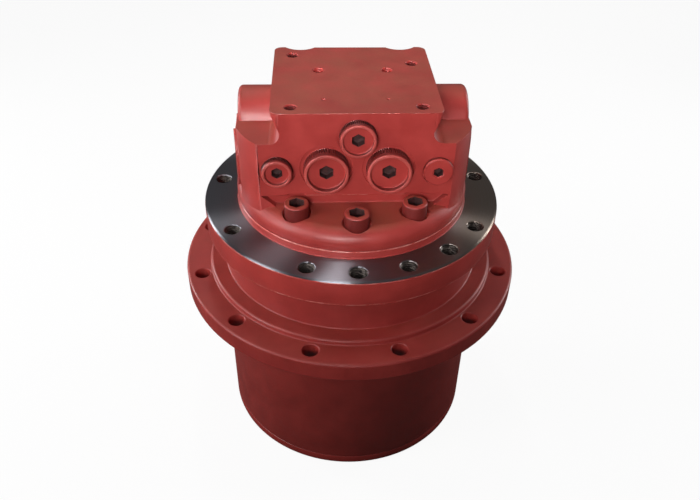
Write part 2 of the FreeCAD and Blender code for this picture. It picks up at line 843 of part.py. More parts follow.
# Fixed carrier: a one-piece cage bolted to the end of the spindle. Four posts tie its two plates,
# and the second-stage pins bridge them.
def build_fixed_carrier():
    body = new_body("fixed_carrier")
    bore = (s.gear_module * (s.second_sun_teeth * 0.5 + 1.0 + s.profile_shift)
            + s.fixed_carrier_bore_clearance)
    top = -s.spindle_length
    roof = fixed_plate_bottom()
    floor = lower_plate_top()
    bottom = floor - s.fixed_carrier_lower_thickness
    radius = s.fixed_carrier_radius
    turn(body, "upper_plate", [(bore, top), (radius, top), (radius, roof), (bore, roof)])
    turn(body, "lower_plate", [(bore, floor), (radius, floor), (radius, bottom), (bore, bottom)])
    x, y = on_circle(radius - s.carrier_post_radius - 1.0, 45.0)
    post = extrude(body, "post", "XY_Plane", (0, 0, floor), roof - floor,
                   circles=[(x, y, s.carrier_post_radius)])
    repeat_around(body, "posts", [post], s.second_planet_count)
    distance = centre_distance(s.second_sun_teeth, s.second_planet_teeth)
    pin = extrude(body, "pin_hole", "XY_Plane", (0, 0, bottom), top - 3.0 - bottom,
                  circles=[(distance, 0.0, s.second_pin_radius)], cut=True, back=True)
    repeat_around(body, "pin_holes", [pin], s.second_planet_count)
    x, y = on_circle(s.carrier_screw_circle, 22.5)
    shank = extrude(body, "screw_hole", "XY_Plane", (0, 0, top), top - roof,
                    circles=[(x, y, s.carrier_screw_radius + 0.3)], cut=True)
    repeat_around(body, "screw_holes", [shank], 8)
    head = extrude(body, "head_recess", "XY_Plane", (0, 0, roof), s.carrier_head_recess,
                   circles=[(x, y, s.carrier_screw_head_radius + 0.3)], cut=True, back=True)
    repeat_around(body, "head_recesses", [head], 8)

    pins = new_body("second_stage_pins")
    sketch_pin = extrude(pins, "pin", "XY_Plane", (0, 0, bottom + 0.5), top - 3.5 - bottom - 0.5,
                         circles=[(distance, 0.0, s.second_pin_radius - s.seat_clearance)])
    repeat_around(pins, "pins", [sketch_pin], s.second_planet_count)

    screws = new_body("carrier_screws")
    seat = roof + s.carrier_head_recess
    shank = extrude(screws, "shank", "XY_Plane", (0, 0, seat), top - roof,
                    circles=[(x, y, s.carrier_screw_radius - s.seat_clearance)])
    head = extrude(screws, "head", "XY_Plane", (0, 0, seat), s.carrier_head_recess - 0.5,
                   circles=[(x, y, s.carrier_screw_head_radius)], back=True)
    repeat_around(screws, "screws", [shank, head], 8)


# First carrier: a steel disc with three pressed pins, driving the second sun.
def build_first_carrier():
    top = first_carrier_top()
    bottom = top - s.first_carrier_thickness
    tail = sun_tail_radius()
    distance = centre_distance(s.first_sun_teeth, s.first_planet_teeth)
    x, y = 0.0, distance
    body = new_body("first_stage_carrier")
    turn(body, "carrier_disc", [
        (tail, top),
        (s.first_carrier_radius, top),
        (s.first_carrier_radius, bottom),
        (tail, bottom),
    ])
    hole = extrude(body, "carrier_pin_hole", "XY_Plane", (0, 0, top), s.first_carrier_thickness,
                   circles=[(x, y, s.first_pin_radius)], cut=True)
    repeat_around(body, "carrier_pin_holes", [hole], s.first_planet_count)
    pins = new_body("first_stage_pins")
    length = s.first_carrier_thickness + s.carrier_gap * 1.4 + s.first_gear_width
    pin = extrude(pins, "first_pin", "XY_Plane", (0, 0, top), length,
                  circles=[(x, y, s.first_pin_radius - s.seat_clearance)], back=True)
    repeat_around(pins, "first_pins", [pin], s.first_planet_count)


# Hub: one forging with the seal neck, the sprocket flange, both bearing seats and the barrel that
# holds the ring gear.
def build_hub():
    chamfer = s.edge_chamfer
    flange_bottom = -s.sprocket_flange_depth - s.sprocket_flange_thickness
    upper_seat_end = -s.bearing_top_depth - s.bearing_width
    lower_seat = -s.bearing_top_depth - s.bearing_spacing
    lower_seat_end = lower_seat - s.bearing_width - 1.0
    teeth_top = -s.second_gear_depth + s.gear_side_gap
    body = new_body("hub")
    turn(body, "hub_profile", [
        (s.seal_housing_radius, -s.hub_top_depth),
        (s.hub_neck_radius - chamfer, -s.hub_top_depth),
        (s.hub_neck_radius, -s.hub_top_depth - chamfer),
        (s.hub_neck_radius, -s.pilot_top_depth),
        (s.pilot_radius - chamfer, -s.pilot_top_depth),
        (s.pilot_radius, -s.pilot_top_depth - chamfer),
        (s.pilot_radius, -s.sprocket_flange_depth),
        (s.sprocket_flange_radius - chamfer, -s.sprocket_flange_depth),
        (s.sprocket_flange_radius, -s.sprocket_flange_depth - chamfer),
        (s.sprocket_flange_radius, flange_bottom + chamfer),
        (s.sprocket_flange_radius - chamfer, flange_bottom),
        (s.barrel_radius, flange_bottom),
        (s.barrel_radius, -s.hub_bottom_depth),
        (s.ring_gear_radius, -s.hub_bottom_depth),
        (s.ring_gear_radius, teeth_top),
        (s.relief_bore_radius, teeth_top),
        (s.relief_bore_radius, lower_seat_end),
        (s.bearing_outer_radius, lower_seat_end),
        (s.bearing_outer_radius, lower_seat),
        (s.bearing_shoulder_radius, lower_seat),
        (s.bearing_shoulder_radius, upper_seat_end),
        (s.bearing_outer_radius, upper_seat_end),
        (s.bearing_outer_radius, -s.bearing_top_depth),
        (s.seal_housing_radius, -s.bearing_top_depth),
    ])
    x, y = on_circle(s.sprocket_bolt_circle, s.sprocket_bolt_phase.number)
    hole = extrude(body, "sprocket_hole", "XY_Plane", (0, 0, -s.sprocket_flange_depth),
                   s.sprocket_flange_thickness, circles=[(x, y, s.sprocket_bolt_radius)], cut=True)
    repeat_around(body, "sprocket_holes", [hole], s.sprocket_bolt_count)
    x, y = on_circle(s.cover_screw_circle, 0.0)
    hole = extrude(body, "cover_screw_hole", "XY_Plane", (0, 0, -s.hub_bottom_depth),
                   s.cover_screw_length + 2.0,
                   circles=[(x, y, s.cover_screw_radius)], cut=True, back=True)
    repeat_around(body, "cover_screw_holes", [hole], s.cover_screw_count)


# Ring gear of both stages, pressed into the barrel and held there by the end cover.
def build_ring_gear():
    top = s.gear_side_gap.number - s.second_gear_depth.number
    bottom = s.cover_spigot_length.number - s.hub_bottom_depth.number
    ring = disc(s.ring_gear_radius.number - s.seat_clearance.number, bottom, top)
    spaces = internal_teeth(top - bottom)
    spaces.translate(Vector(0, 0, bottom))
    new_shape("ring_gear", ring.cut(spaces))


# End cover: a turned plate on a spigot, with recessed screws and three oil plugs.
def build_end_cover():
    chamfer = s.edge_chamfer
    top = -s.hub_bottom_depth
    bottom = top - s.cover_thickness
    boss_top = -(s.first_gear_depth + s.first_gear_width + s.sun_end_button + 0.3)
    spigot = s.ring_gear_radius - s.seat_clearance
    body = new_body("end_cover")
    turn(body, "cover_form", [
        (0.0, bottom),
        (s.barrel_radius - chamfer, bottom),
        (s.barrel_radius, bottom + chamfer),
        (s.barrel_radius, top),
        (spigot, top),
        (spigot, top + s.cover_spigot_length),
        (spigot - s.cover_spigot_width, top + s.cover_spigot_length),
        (spigot - s.cover_spigot_width, top),
        (s.cover_boss_radius, top),
        (s.cover_boss_radius, boss_top),
        (0.0, boss_top),
    ])
    x, y = on_circle(s.cover_screw_circle, 0.0)
    seat = bottom + s.cover_screw_head_height + 0.3
    hole = extrude(body, "cover_hole", "XY_Plane", (0, 0, bottom), s.cover_thickness,
                   circles=[(x, y, s.cover_screw_radius + 0.3)], cut=True, back=True)
    recess = extrude(body, "cover_recess", "XY_Plane", (0, 0, bottom), seat - bottom,
                     circles=[(x, y, s.cover_screw_head_radius + 0.3)], cut=True, back=True)
    repeat_around(body, "cover_hole_ring", [hole, recess], s.cover_screw_count)
    px, py = on_circle(s.cover_plug_circle, 0.0)
    hole = extrude(body, "plug_hole", "XY_Plane", (0, 0, bottom), s.cover_thickness,
                   circles=[(px, py, s.cover_plug_radius)], cut=True, back=True)
    repeat_around(body, "plug_holes", [hole], 3)

    screws = new_body("cover_screws")
    head = extrude(screws, "cover_head", "XY_Plane", (0, 0, seat), s.cover_screw_head_height,
                   circles=[(x, y, s.cover_screw_head_radius)], back=True)
    shank = extrude(screws, "cover_shank", "XY_Plane", (0, 0, seat), top + s.cover_screw_length - seat,
                    circles=[(x, y, s.cover_screw_radius - s.seat_clearance)])
    socket = extrude(screws, "cover_socket", "XY_Plane", (0, 0, seat - s.cover_screw_head_height),
                     2.5, outlines=[hexagon(5.0, x, y)], cut=True, back=True)
    repeat_around(screws, "cover_screw_ring", [head, shank, socket], s.cover_screw_count)

    plugs = new_body("cover_plugs")
    plug = extrude(plugs, "plug", "XY_Plane", (0, 0, bottom + 0.5), s.cover_thickness - 0.5,
                   circles=[(px, py, s.cover_plug_radius - s.seat_clearance)])
    socket = extrude(plugs, "plug_socket", "XY_Plane", (0, 0, bottom + 0.5), 5.0,
                     outlines=[hexagon(8.0, px, py)], cut=True, back=True)
    repeat_around(plugs, "plug_ring", [plug, socket], 3)


# Motor shaft, splined into the cylinder block and bored for the quill of the first sun.
def build_shaft():
    body = new_body("motor_shaft")
    top = s.spigot_height + s.bush_length
    collar = -s.swash_floor_depth
    quill_top = s.quill_length - s.shaft_bottom_depth + 1.0
    turn(body, "shaft_form", [
        (0.0, top),
        (s.shaft_top_radius, top),
        (s.shaft_top_radius, s.spigot_height - 1.0),
        (s.shaft_radius, s.spigot_height - 1.0),
        (s.shaft_radius, collar + s.shaft_collar_length),
        (s.shaft_bearing_bore_radius + 2.0, collar + s.shaft_collar_length),
        (s.shaft_bearing_bore_radius + 2.0, collar),
        (s.shaft_bearing_bore_radius, collar),
        (s.shaft_bearing_bore_radius, -s.shaft_bottom_depth),
        (s.quill_radius, -s.shaft_bottom_depth),
        (s.quill_radius, quill_top),
        (0.0, quill_top),
    ])
    bush = new_body("upper_shaft_bush")
    turn(bush, "bush_form", [
        (s.shaft_top_radius + s.running_clearance, s.spigot_height),
        (s.shaft_top_radius + s.bush_thickness - s.seat_clearance, s.spigot_height),
        (s.shaft_top_radius + s.bush_thickness - s.seat_clearance, top),
        (s.shaft_top_radius + s.running_clearance, top),
    ])
    roller = s.shaft_roller_radius
    pitch = (s.shaft_bearing_bore_radius + s.shaft_bearing_outer_radius) * 0.5
    low = collar - s.shaft_bearing_width
    inner = new_body("shaft_bearing_inner_ring")
    turn(inner, "shaft_inner_form", [
        (s.shaft_bearing_bore_radius + s.seat_clearance, low),
        (pitch - roller - s.race_clearance, low),
        (pitch - roller - s.race_clearance, collar),
        (s.shaft_bearing_bore_radius + s.seat_clearance, collar),
    ])
    outer = new_body("shaft_bearing_outer_ring")
    turn(outer, "shaft_outer_form", [
        (pitch + roller + s.race_clearance, low),
        (s.shaft_bearing_outer_radius - s.seat_clearance, low),
        (s.shaft_bearing_outer_radius - s.seat_clearance, collar),
        (pitch + roller + s.race_clearance, collar),
    ])
    rollers = new_body("shaft_bearing_rollers")
    one = extrude(rollers, "shaft_roller", "XY_Plane", (0, 0, low + 2.0), s.shaft_bearing_width - 4.0,
                  circles=[(pitch, 0.0, roller)])
    repeat_around(rollers, "shaft_rollers", [one], s.shaft_roller_count)
    seal = new_body("shaft_seal")
    turn(seal, "shaft_seal_form", [
        (s.shaft_bearing_bore_radius + s.running_clearance, low - s.seal_width),
        (s.shaft_seal_outer_radius - s.seat_clearance, low - s.seal_width),
        (s.shaft_seal_outer_radius - s.seat_clearance, low),
        (s.shaft_bearing_bore_radius + s.running_clearance, low),
    ])


# Rotating group: cylinder block, pistons on their slippers, retainer, timing plate, swash plate.
def build_rotating_group():
    top = s.spigot_height - s.timing_plate_thickness
    bottom = top - s.block_length
    plate = new_body("timing_plate")
    turn(plate, "timing_form", [
        (s.shaft_radius + 3.0, top),
        (s.timing_plate_radius, top),
        (s.timing_plate_radius, s.spigot_height),
        (s.shaft_radius + 3.0, s.spigot_height),
    ])
    inner = s.piston_circle - 4.0
    outer = s.piston_circle + 4.0
    slots = []
    for start, stop in ((20.0, 160.0), (200.0, 340.0)):
        begin = math.radians(start)
        finish = math.radians(stop)
        slots.append([
            (inner * math.cos(begin), inner * math.sin(begin)),
            (outer * math.cos(begin), outer * math.sin(begin)),
            (outer * math.cos(finish), outer * math.sin(finish), outer),
            (inner * math.cos(finish), inner * math.sin(finish)),
        ])
        slots[-1][0] = slots[-1][0] + (-inner,)
    extrude(plate, "kidney_ports", "XY_Plane", (0, 0, s.spigot_height), s.timing_plate_thickness,
            outlines=slots, cut=True)

    block = new_body("cylinder_block")
    turn(block, "block_form", [
        (s.shaft_radius + s.seat_clearance, bottom),
        (s.block_radius, bottom),
        (s.block_radius, top),
        (s.shaft_radius + s.seat_clearance, top),
    ])
    bore = extrude(block, "piston_bore", "XY_Plane", (0, 0, bottom), s.block_length - 5.0,
                   circles=[(s.piston_circle, 0.0, s.piston_radius)], cut=True, back=True)
    repeat_around(block, "piston_bores", [bore], s.piston_count)

    face = -s.slipper_face_depth
    ball = face + s.ball_height
    neck = s.ball_radius - 1.5
    rise = math.sqrt(s.ball_radius.number ** 2 - neck.number ** 2)
    skirt = ball + s.piston_neck_length
    pistons = new_body("pistons")
    one = turn(pistons, "piston", [
        (0.0, -s.piston_head_depth),
        (s.piston_radius - s.running_clearance, -s.piston_head_depth),
        (s.piston_radius - s.running_clearance, skirt),
        (neck, skirt),
        (neck, ball + rise),
        (0.0, ball - s.ball_radius, -s.ball_radius),
    ], at=(s.piston_circle, 0.0, 0.0))
    repeat_around(pistons, "piston_ring", [one], s.piston_count)

    cavity = s.ball_radius + s.running_clearance
    lip = ball + s.slipper_lip
    lip_radius = math.sqrt(cavity.number ** 2 - s.slipper_lip.number ** 2)
    slippers = new_body("slippers")
    one = turn(slippers, "slipper", [
        (0.0, face),
        (s.slipper_radius, face),
        (s.slipper_radius, face + s.slipper_pad_thickness),
        (s.slipper_neck_radius, face + s.slipper_pad_thickness),
        (s.slipper_neck_radius, lip),
        (lip_radius, lip),
        (0.0, ball - cavity, -cavity),
    ], at=(s.piston_circle, 0.0, 0.0))
    repeat_around(slippers, "slipper_ring", [one], s.piston_count)

    retainer = new_body("retainer_plate")
    pad_top = face + s.slipper_pad_thickness
    guide = s.shaft_radius + 4.0
    turn(retainer, "retainer_form", [
        (guide + s.running_clearance, pad_top),
        (s.piston_circle + s.slipper_radius - 1.0, pad_top),
        (s.piston_circle + s.slipper_radius - 1.0, pad_top + 2.5),
        (guide + s.running_clearance, pad_top + 2.5),
    ])
    hole = extrude(retainer, "retainer_hole", "XY_Plane", (0, 0, pad_top), 2.5,
                   circles=[(s.piston_circle, 0.0, s.slipper_neck_radius + 0.3)], cut=True, back=True)
    repeat_around(retainer, "retainer_holes", [hole], s.piston_count)
    collar = new_body("retainer_ball")
    turn(collar, "retainer_ball_form", [
        (s.shaft_radius + s.seat_clearance, pad_top),
        (guide, pad_top),
        (guide, pad_top + 4.0),
        (s.shaft_radius + 1.5, bottom),
        (s.shaft_radius + s.seat_clearance, bottom),
    ])


def swash_pivot_depth():
    return s.swash_floor_depth - s.swash_ball_lift


def swash_face_rise():
    """Height of the swash face above its pivots that leaves the slippers free at full tilt."""
    angle = math.radians(s.swash_angle.number)
    reach = s.piston_circle + s.slipper_radius
    drop = s.slipper_face_depth + s.swash_gap + reach * math.tan(angle)
    return (swash_pivot_depth() - drop) * math.cos(angle)


def build_swash_plate():
    rise = swash_face_rise()
    under = rise - s.swash_thickness
    body = new_body("swash_plate")
    turn(body, "swash_form", [
        (s.swash_hole_radius, under),
        (s.swash_radius, under),
        (s.swash_radius, rise),
        (s.swash_hole_radius, rise),
    ])
    boss = s.swash_ball_radius + 3.0
    socket = s.swash_ball_radius + s.running_clearance
    for index, side in enumerate((-1, 1)):
        extrude(body, "swash_boss_%d" % index, "XY_Plane", (0, 0, 0), under + 1.0,
                circles=[(side * s.swash_ball_spread, 0.0, boss)])
    for index, side in enumerate((-1, 1)):
        turn(body, "swash_socket_%d" % index, ball_outline(socket),
             at=(side * s.swash_ball_spread, 0.0, 0.0), cut=True)
    body.Placement = Placement(Vector(0, 0, -swash_pivot_depth().number),
                               Rotation(Vector(1, 0, 0), s.swash_angle.number))
    pivots = new_body("swash_pivots")
    for index, side in enumerate((-1, 1)):
        turn(pivots, "pivot_ball_%d" % index, ball_outline(s.swash_ball_radius),
             at=(side * s.swash_ball_spread, -swash_pivot_depth(), 0.0))


# Parking brake: plates between the case and the cylinder block, pressed by a sprung piston.
def build_brake():
    gap = 0.1
    pitch = s.brake_plate_thickness + gap
    floor = -s.case_shoulder_depth
    steel = new_body("brake_steel_plates")
    lined = new_body("brake_friction_plates")
    count = int(s.steel_plate_count.number)
    for index in range(2 * count - 1):
        low = floor + index * pitch
        high = low + s.brake_plate_thickness
        if index % 2:
            body, inner, outer = lined, s.block_radius + gap, s.friction_plate_radius
        else:
            body, inner, outer = steel, s.steel_plate_bore, s.case_bore_radius - s.running_clearance
        turn(body, "plate_%d" % index, [(inner, low), (outer, low), (outer, high), (inner, high)])
    low = floor + (2 * s.steel_plate_count - 1.0) * pitch
    high = low + s.brake_piston_thickness
    piston = new_body("brake_piston")
    turn(piston, "brake_piston_form", [
        (s.brake_piston_bore, low),
        (s.case_bore_radius - s.running_clearance, low),
        (s.case_bore_radius - s.running_clearance, high),
        (s.brake_piston_bore, high),
    ])
    pocket = extrude(piston, "spring_pocket", "XY_Plane", (0, 0, high), s.brake_spring_pocket,
                     circles=[(s.brake_spring_circle, 0.0, s.brake_spring_radius + 0.3)], cut=True)
    repeat_around(piston, "spring_pockets", [pocket], s.brake_spring_count)
    springs = new_body("brake_springs")
    one = extrude(springs, "brake_spring", "XY_Plane", (0, 0, high - s.brake_spring_pocket),
                  s.spigot_height - high + s.brake_spring_pocket,
                  circles=[(s.brake_spring_circle, 0.0, s.brake_spring_radius)])
    repeat_around(springs, "brake_spring_ring", [one], s.brake_spring_count)


def plan_outline():
    """Plan of the valve block: flat front and rear, round sides and broad corners."""
    side = math.sqrt(s.block_envelope_radius.number ** 2 - s.corner_depth.number ** 2)
    broad = s.corner_radius
    reach = s.block_envelope_radius
    return [
        (-s.front_half_width, -s.front_face, broad),
        (s.front_half_width, -s.front_face),
        (side, -s.corner_depth, broad),
        (side, s.corner_depth, reach),
        (s.rear_half_width, s.rear_face, broad),
        (-s.rear_half_width, s.rear_face),
        (-side, s.corner_depth, broad),
        (-side, -s.corner_depth, reach),
    ]


def box_outline(x_low, y_low, x_high, y_high):
    return [(x_low, y_low), (x_high, y_low), (x_high, y_high), (x_low, y_high)]


# Valve block: one casting, machined on the front, the deck and the seats of its screws. Two round
# bosses cross it from side to side, the lower for the spool, the upper for the relief valves.
def build_valve_block():
    body = new_body("valve_block")
    scoop = s.scoop_radius
    wall = s.scoop_half_width
    deck = s.deck_half_width
    form_bottom = s.spigot_height + 2.0
    extrude(body, "block_form", "XZ_Plane", (0, 0, -s.rear_face), s.rear_face + s.front_face, outlines=[[
        (-s.block_half_width, form_bottom),
        (s.block_half_width, form_bottom),
        (s.block_half_width, s.ledge_height),
        (wall + scoop, s.ledge_height),
        (wall, s.ledge_height + scoop, -scoop),
        (deck, s.deck_height),
        (-deck, s.deck_height),
        (-wall, s.ledge_height + scoop),
        (-wall - scoop, s.ledge_height, -scoop),
        (-s.block_half_width, s.ledge_height),
    ]])
    outside = s.block_envelope_radius * 1.3
    narrow = s.rear_step_half_width
    for index, side in enumerate((-1, 1)):
        extrude(body, "rear_step_%d" % index, "XZ_Plane", (0, 0, -s.rear_step_front), s.rear_face,
                outlines=[[
                    (side * outside, s.rear_step_height),
                    (side * outside, s.ledge_height + scoop),
                    (side * narrow, s.ledge_height + scoop),
                    (side * narrow, s.rear_step_height + scoop),
                    (side * (narrow + scoop), s.rear_step_height, side * scoop),
                ]], cut=True)
    extrude(body, "spool_boss", "YZ_Plane", (0, 0, -s.block_envelope_radius),
            2.0 * s.block_envelope_radius,
            circles=[(s.side_axis_back, s.spool_axis_height, s.spool_boss_radius)])
    end = s.block_half_width
    edge = s.boss_edge_radius
    boss = s.relief_boss_radius
    turn(body, "relief_boss", [
        (-end, 0.0),
        (end, 0.0),
        (end, boss - edge),
        (end - edge, boss, edge),
        (edge - end, boss),
        (-end, boss - edge, edge),
    ], plane="XY_Plane", axis="H_Axis", at=(0, s.side_axis_back, s.relief_axis_height))
    extrude(body, "plan_trim", "XY_Plane", (0, 0, s.deck_height), s.deck_height,
            outlines=[box_outline(-outside, -outside, outside, outside), plan_outline()], cut=True)
    shoulder = s.block_shoulder_radius
    turn(body, "base", [
        (0.0, s.spigot_height),
        (s.spigot_radius, s.spigot_height),
        (s.spigot_radius, s.block_rim_height),
        (shoulder, s.pocket_floor_height, s.foot_radius),
        (0.0, s.pocket_floor_height),
    ])
    apron = s.rear_apron_height
    for word, y, back, roof in (("front", s.pocket_back, True, s.pocket_roof_height),
                                ("rear", -s.pocket_back, False, apron)):
        extrude(body, "%s_pocket" % word, "XZ_Plane", (0, 0, y), s.pocket_back, outlines=[[
            (-s.pocket_floor_half_width, s.pocket_floor_height),
            (s.pocket_floor_half_width, s.pocket_floor_height),
            (s.pocket_half_width, roof),
            (-s.pocket_half_width, roof),
        ]], cut=True, back=back)
    round_deck_corners(body)
    for index, side in enumerate((-1, 1)):
        extrude(body, "scallop_%d" % index, "XY_Plane", (0, 0, s.deck_height),
                s.deck_height - s.ledge_height,
                circles=[(side * s.scallop_offset, s.rear_face + s.scallop_radius - s.scallop_depth,
                          s.scallop_radius)], cut=True)

    spot = s.spotface_radius
    radius = s.block_screw_circle
    step = s.block_screw_step.number
    for word, middle, relief_top in (("front", 0.0, s.screw_relief_height), ("rear", 180.0, apron)):
        x, y = on_circle(radius, middle - step)
        relief = extrude(body, "%s_screw_relief" % word, "XY_Plane", (0, 0, relief_top),
                         relief_top - s.block_screw_seat_height, circles=[(x, y, spot)], cut=True)
        hole = extrude(body, "%s_screw_hole" % word, "XY_Plane", (0, 0, s.block_screw_seat_height),
                       s.block_screw_seat_height - s.spigot_height,
                       circles=[(x, y, s.block_screw_radius + s.screw_clearance)], cut=True)
        repeat_around(body, "%s_screw_seats" % word, [relief, hole], s.block_screw_count, 2.0 * step)

    deck_holes = [(-s.deck_bolt_x, -s.deck_bolt_y), (s.deck_bolt_x, -s.deck_bolt_y),
                  (-s.deck_bolt_x, s.deck_bolt_y), (s.deck_bolt_x, s.deck_bolt_y - 16.0)]
    extrude(body, "deck_holes", "XY_Plane", (0, 0, s.deck_height), s.deck_bolt_depth,
            circles=[(x, y, s.deck_bolt_radius) for x, y in deck_holes], cut=True)
    extrude(body, "deck_blind_holes", "XY_Plane", (0, 0, s.deck_height), s.deck_blind_depth,
            circles=[(side * s.deck_blind_x, s.deck_blind_y, s.deck_blind_radius) for side in (-1, 1)],
            cut=True)
    extrude(body, "deck_marks", "XY_Plane", (0, 0, s.deck_height), s.deck_mark_depth,
            circles=[(side * s.deck_mark_x, -s.deck_mark_y, s.deck_mark_radius) for side in (-1, 1)],
            cut=True)
    for word, side in (("top", 1), ("left", 1), ("right", 1), ("large", 1), ("large", -1)):
        size = plug_sizes(word)
        x = plug_place(word, side)
        extrude(body, "%s_plug_bore_%d" % (word, side + 1), "XZ_Plane", (0, 0, s.front_face),
                size["bore_depth"], circles=[(x, size["z"], size["bore_radius"])], cut=True)
        extrude(body, "%s_plug_spot_%d" % (word, side + 1), "XZ_Plane", (0, 0, s.front_face),
                s.plug_spot_depth, circles=[(x, size["z"], size["spot_radius"])], cut=True)
    extrude(body, "main_ports", "XZ_Plane", (0, 0, -s.rear_face), s.main_port_depth,
            circles=[(-s.main_port_spread, s.main_port_height, s.main_port_radius),
                     (s.main_port_spread, s.main_port_height, s.main_port_radius)],
            cut=True, back=True)
    extrude(body, "small_ports", "XZ_Plane", (0, 0, -s.rear_face), s.small_port_depth,
            circles=[(s.drain_port_offset, s.drain_port_height, s.drain_port_radius),
                     (s.pilot_port_offset, s.pilot_port_height, s.pilot_port_radius)],
            cut=True, back=True)
    envelope = s.block_envelope_radius
    plug_inner = s.spool_plug_face - s.spool_plug_length
    extrude(body, "spool_bore", "YZ_Plane", (0, 0, plug_inner), 2.0 * plug_inner,
            circles=[(s.side_axis_back, s.spool_axis_height, s.spool_radius + s.running_clearance)],
            cut=True)
    relief_inner = s.block_half_width - s.relief_plug_length
    for index, side in enumerate((-1, 1)):
        extrude(body, "spool_plug_bore_%d" % index, "YZ_Plane", (0, 0, side * plug_inner),
                envelope - plug_inner + 1.0,
                circles=[(s.side_axis_back, s.spool_axis_height, s.spool_plug_radius)],
                cut=True, back=side > 0)
        extrude(body, "relief_bore_%d" % index, "YZ_Plane", (0, 0, side * relief_inner),
                envelope - relief_inner + 1.0,
                circles=[(s.side_axis_back, s.relief_axis_height, s.relief_plug_radius)],
                cut=True, back=side > 0)
    extrude(body, "shaft_bore", "XY_Plane", (0, 0, s.spigot_height), s.bush_length + 0.5,
            circles=[(0.0, 0.0, s.shaft_top_radius + s.bush_thickness)], cut=True, back=True)


def round_deck_corners(body):
    """Takes the four upright corners off the raised deck."""
    radius = s.deck_corner_radius
    wide = s.deck_half_width
    for index, (side, end, face) in enumerate((
        (1, -1, s.front_face), (-1, -1, s.front_face), (1, 1, s.rear_face), (-1, 1, s.rear_face),
    )):
        bend = -radius * side * end
        extrude(body, "deck_corner_%d" % index, "XY_Plane", (0, 0, s.deck_height),
                s.deck_height - s.ledge_height - s.scoop_radius * 0.5, outlines=[[
                    (side * (wide + 4.0), end * (face - radius)),
                    (side * (wide + 4.0), end * (face + 4.0)),
                    (side * (wide - radius), end * (face + 4.0)),
                    (side * (wide - radius), end * face),
                    (side * wide, end * (face - radius), bend),
                ]], cut=True)


def plug_sizes(word):
    fields = ("z", "head_radius", "proud", "cup_radius", "cup_depth", "spot_radius", "socket",
              "bore_radius", "bore_depth")
    return {field: getattr(s, "%s_plug_%s" % (word, field)) for field in fields}


def plug_place(word, side):
    """How far a front plug stands to the right. The large pair is a little off the middle."""
    x = getattr(s, "%s_plug_x" % word)
    return side * x + s.large_plug_shift if word == "large" else x


# Front plugs: turned heads with a shallow cup and a hexagon socket.
def build_front_plugs():
    chamfer = s.plug_edge_chamfer
    for label, word, sides in (
        ("top_front_plug", "top", (1,)),
        ("left_front_plug", "left", (1,)),
        ("right_front_plug", "right", (1,)),
        ("large_front_plugs", "large", (-1, 1)),
    ):
        size = plug_sizes(word)
        body = new_body(label)
        shank = size["bore_radius"] - s.seat_clearance
        face = -size["proud"] - s.plug_spot_depth
        floor = face + size["cup_depth"]
        for index, side in enumerate(sides):
            x = plug_place(word, side)
            turn(body, "%s_form_%d" % (label, index), [
                (0.0, s.plug_shank_length),
                (0.0, floor),
                (size["cup_radius"], floor),
                (size["cup_radius"], face),
                (size["head_radius"] - chamfer, face),
                (size["head_radius"], face + chamfer),
                (size["head_radius"], 0.0),
                (shank, 0.0),
                (shank, s.plug_shank_length),
            ], plane="XY_Plane", at=(x, s.plug_spot_depth - s.front_face, size["z"]))
            socket_floor = s.front_face - s.plug_spot_depth - floor
            extrude(body, "%s_socket_%d" % (label, index), "XZ_Plane", (0, 0, socket_floor),
                    s.plug_socket_depth, outlines=[hexagon(size["socket"], x, size["z"])], cut=True)


# Socket head cap screws that hold the valve block to the motor case.
def build_block_screws():
    body = new_body("block_screws")
    seat = s.block_screw_seat_height
    top = seat + s.block_screw_head_height
    step = s.block_screw_step.number
    for word, middle in (("front", 0.0), ("rear", 180.0)):
        x, y = on_circle(s.block_screw_circle, middle - step)
        shank = extrude(body, "%s_shank" % word, "XY_Plane", (0, 0, seat), s.block_screw_length,
                        circles=[(x, y, s.block_screw_radius - s.seat_clearance)], back=True)
        head = extrude(body, "%s_head" % word, "XY_Plane", (0, 0, seat), s.block_screw_head_height,
                       circles=[(x, y, s.block_screw_head_radius)])
        socket = extrude(body, "%s_socket" % word, "XY_Plane", (0, 0, top),
                         s.block_screw_head_height * 0.5,
                         outlines=[hexagon(s.block_screw_socket, x, y)], cut=True)
        repeat_around(body, "%s_screws" % word, [shank, head, socket], s.block_screw_count, 2.0 * step)


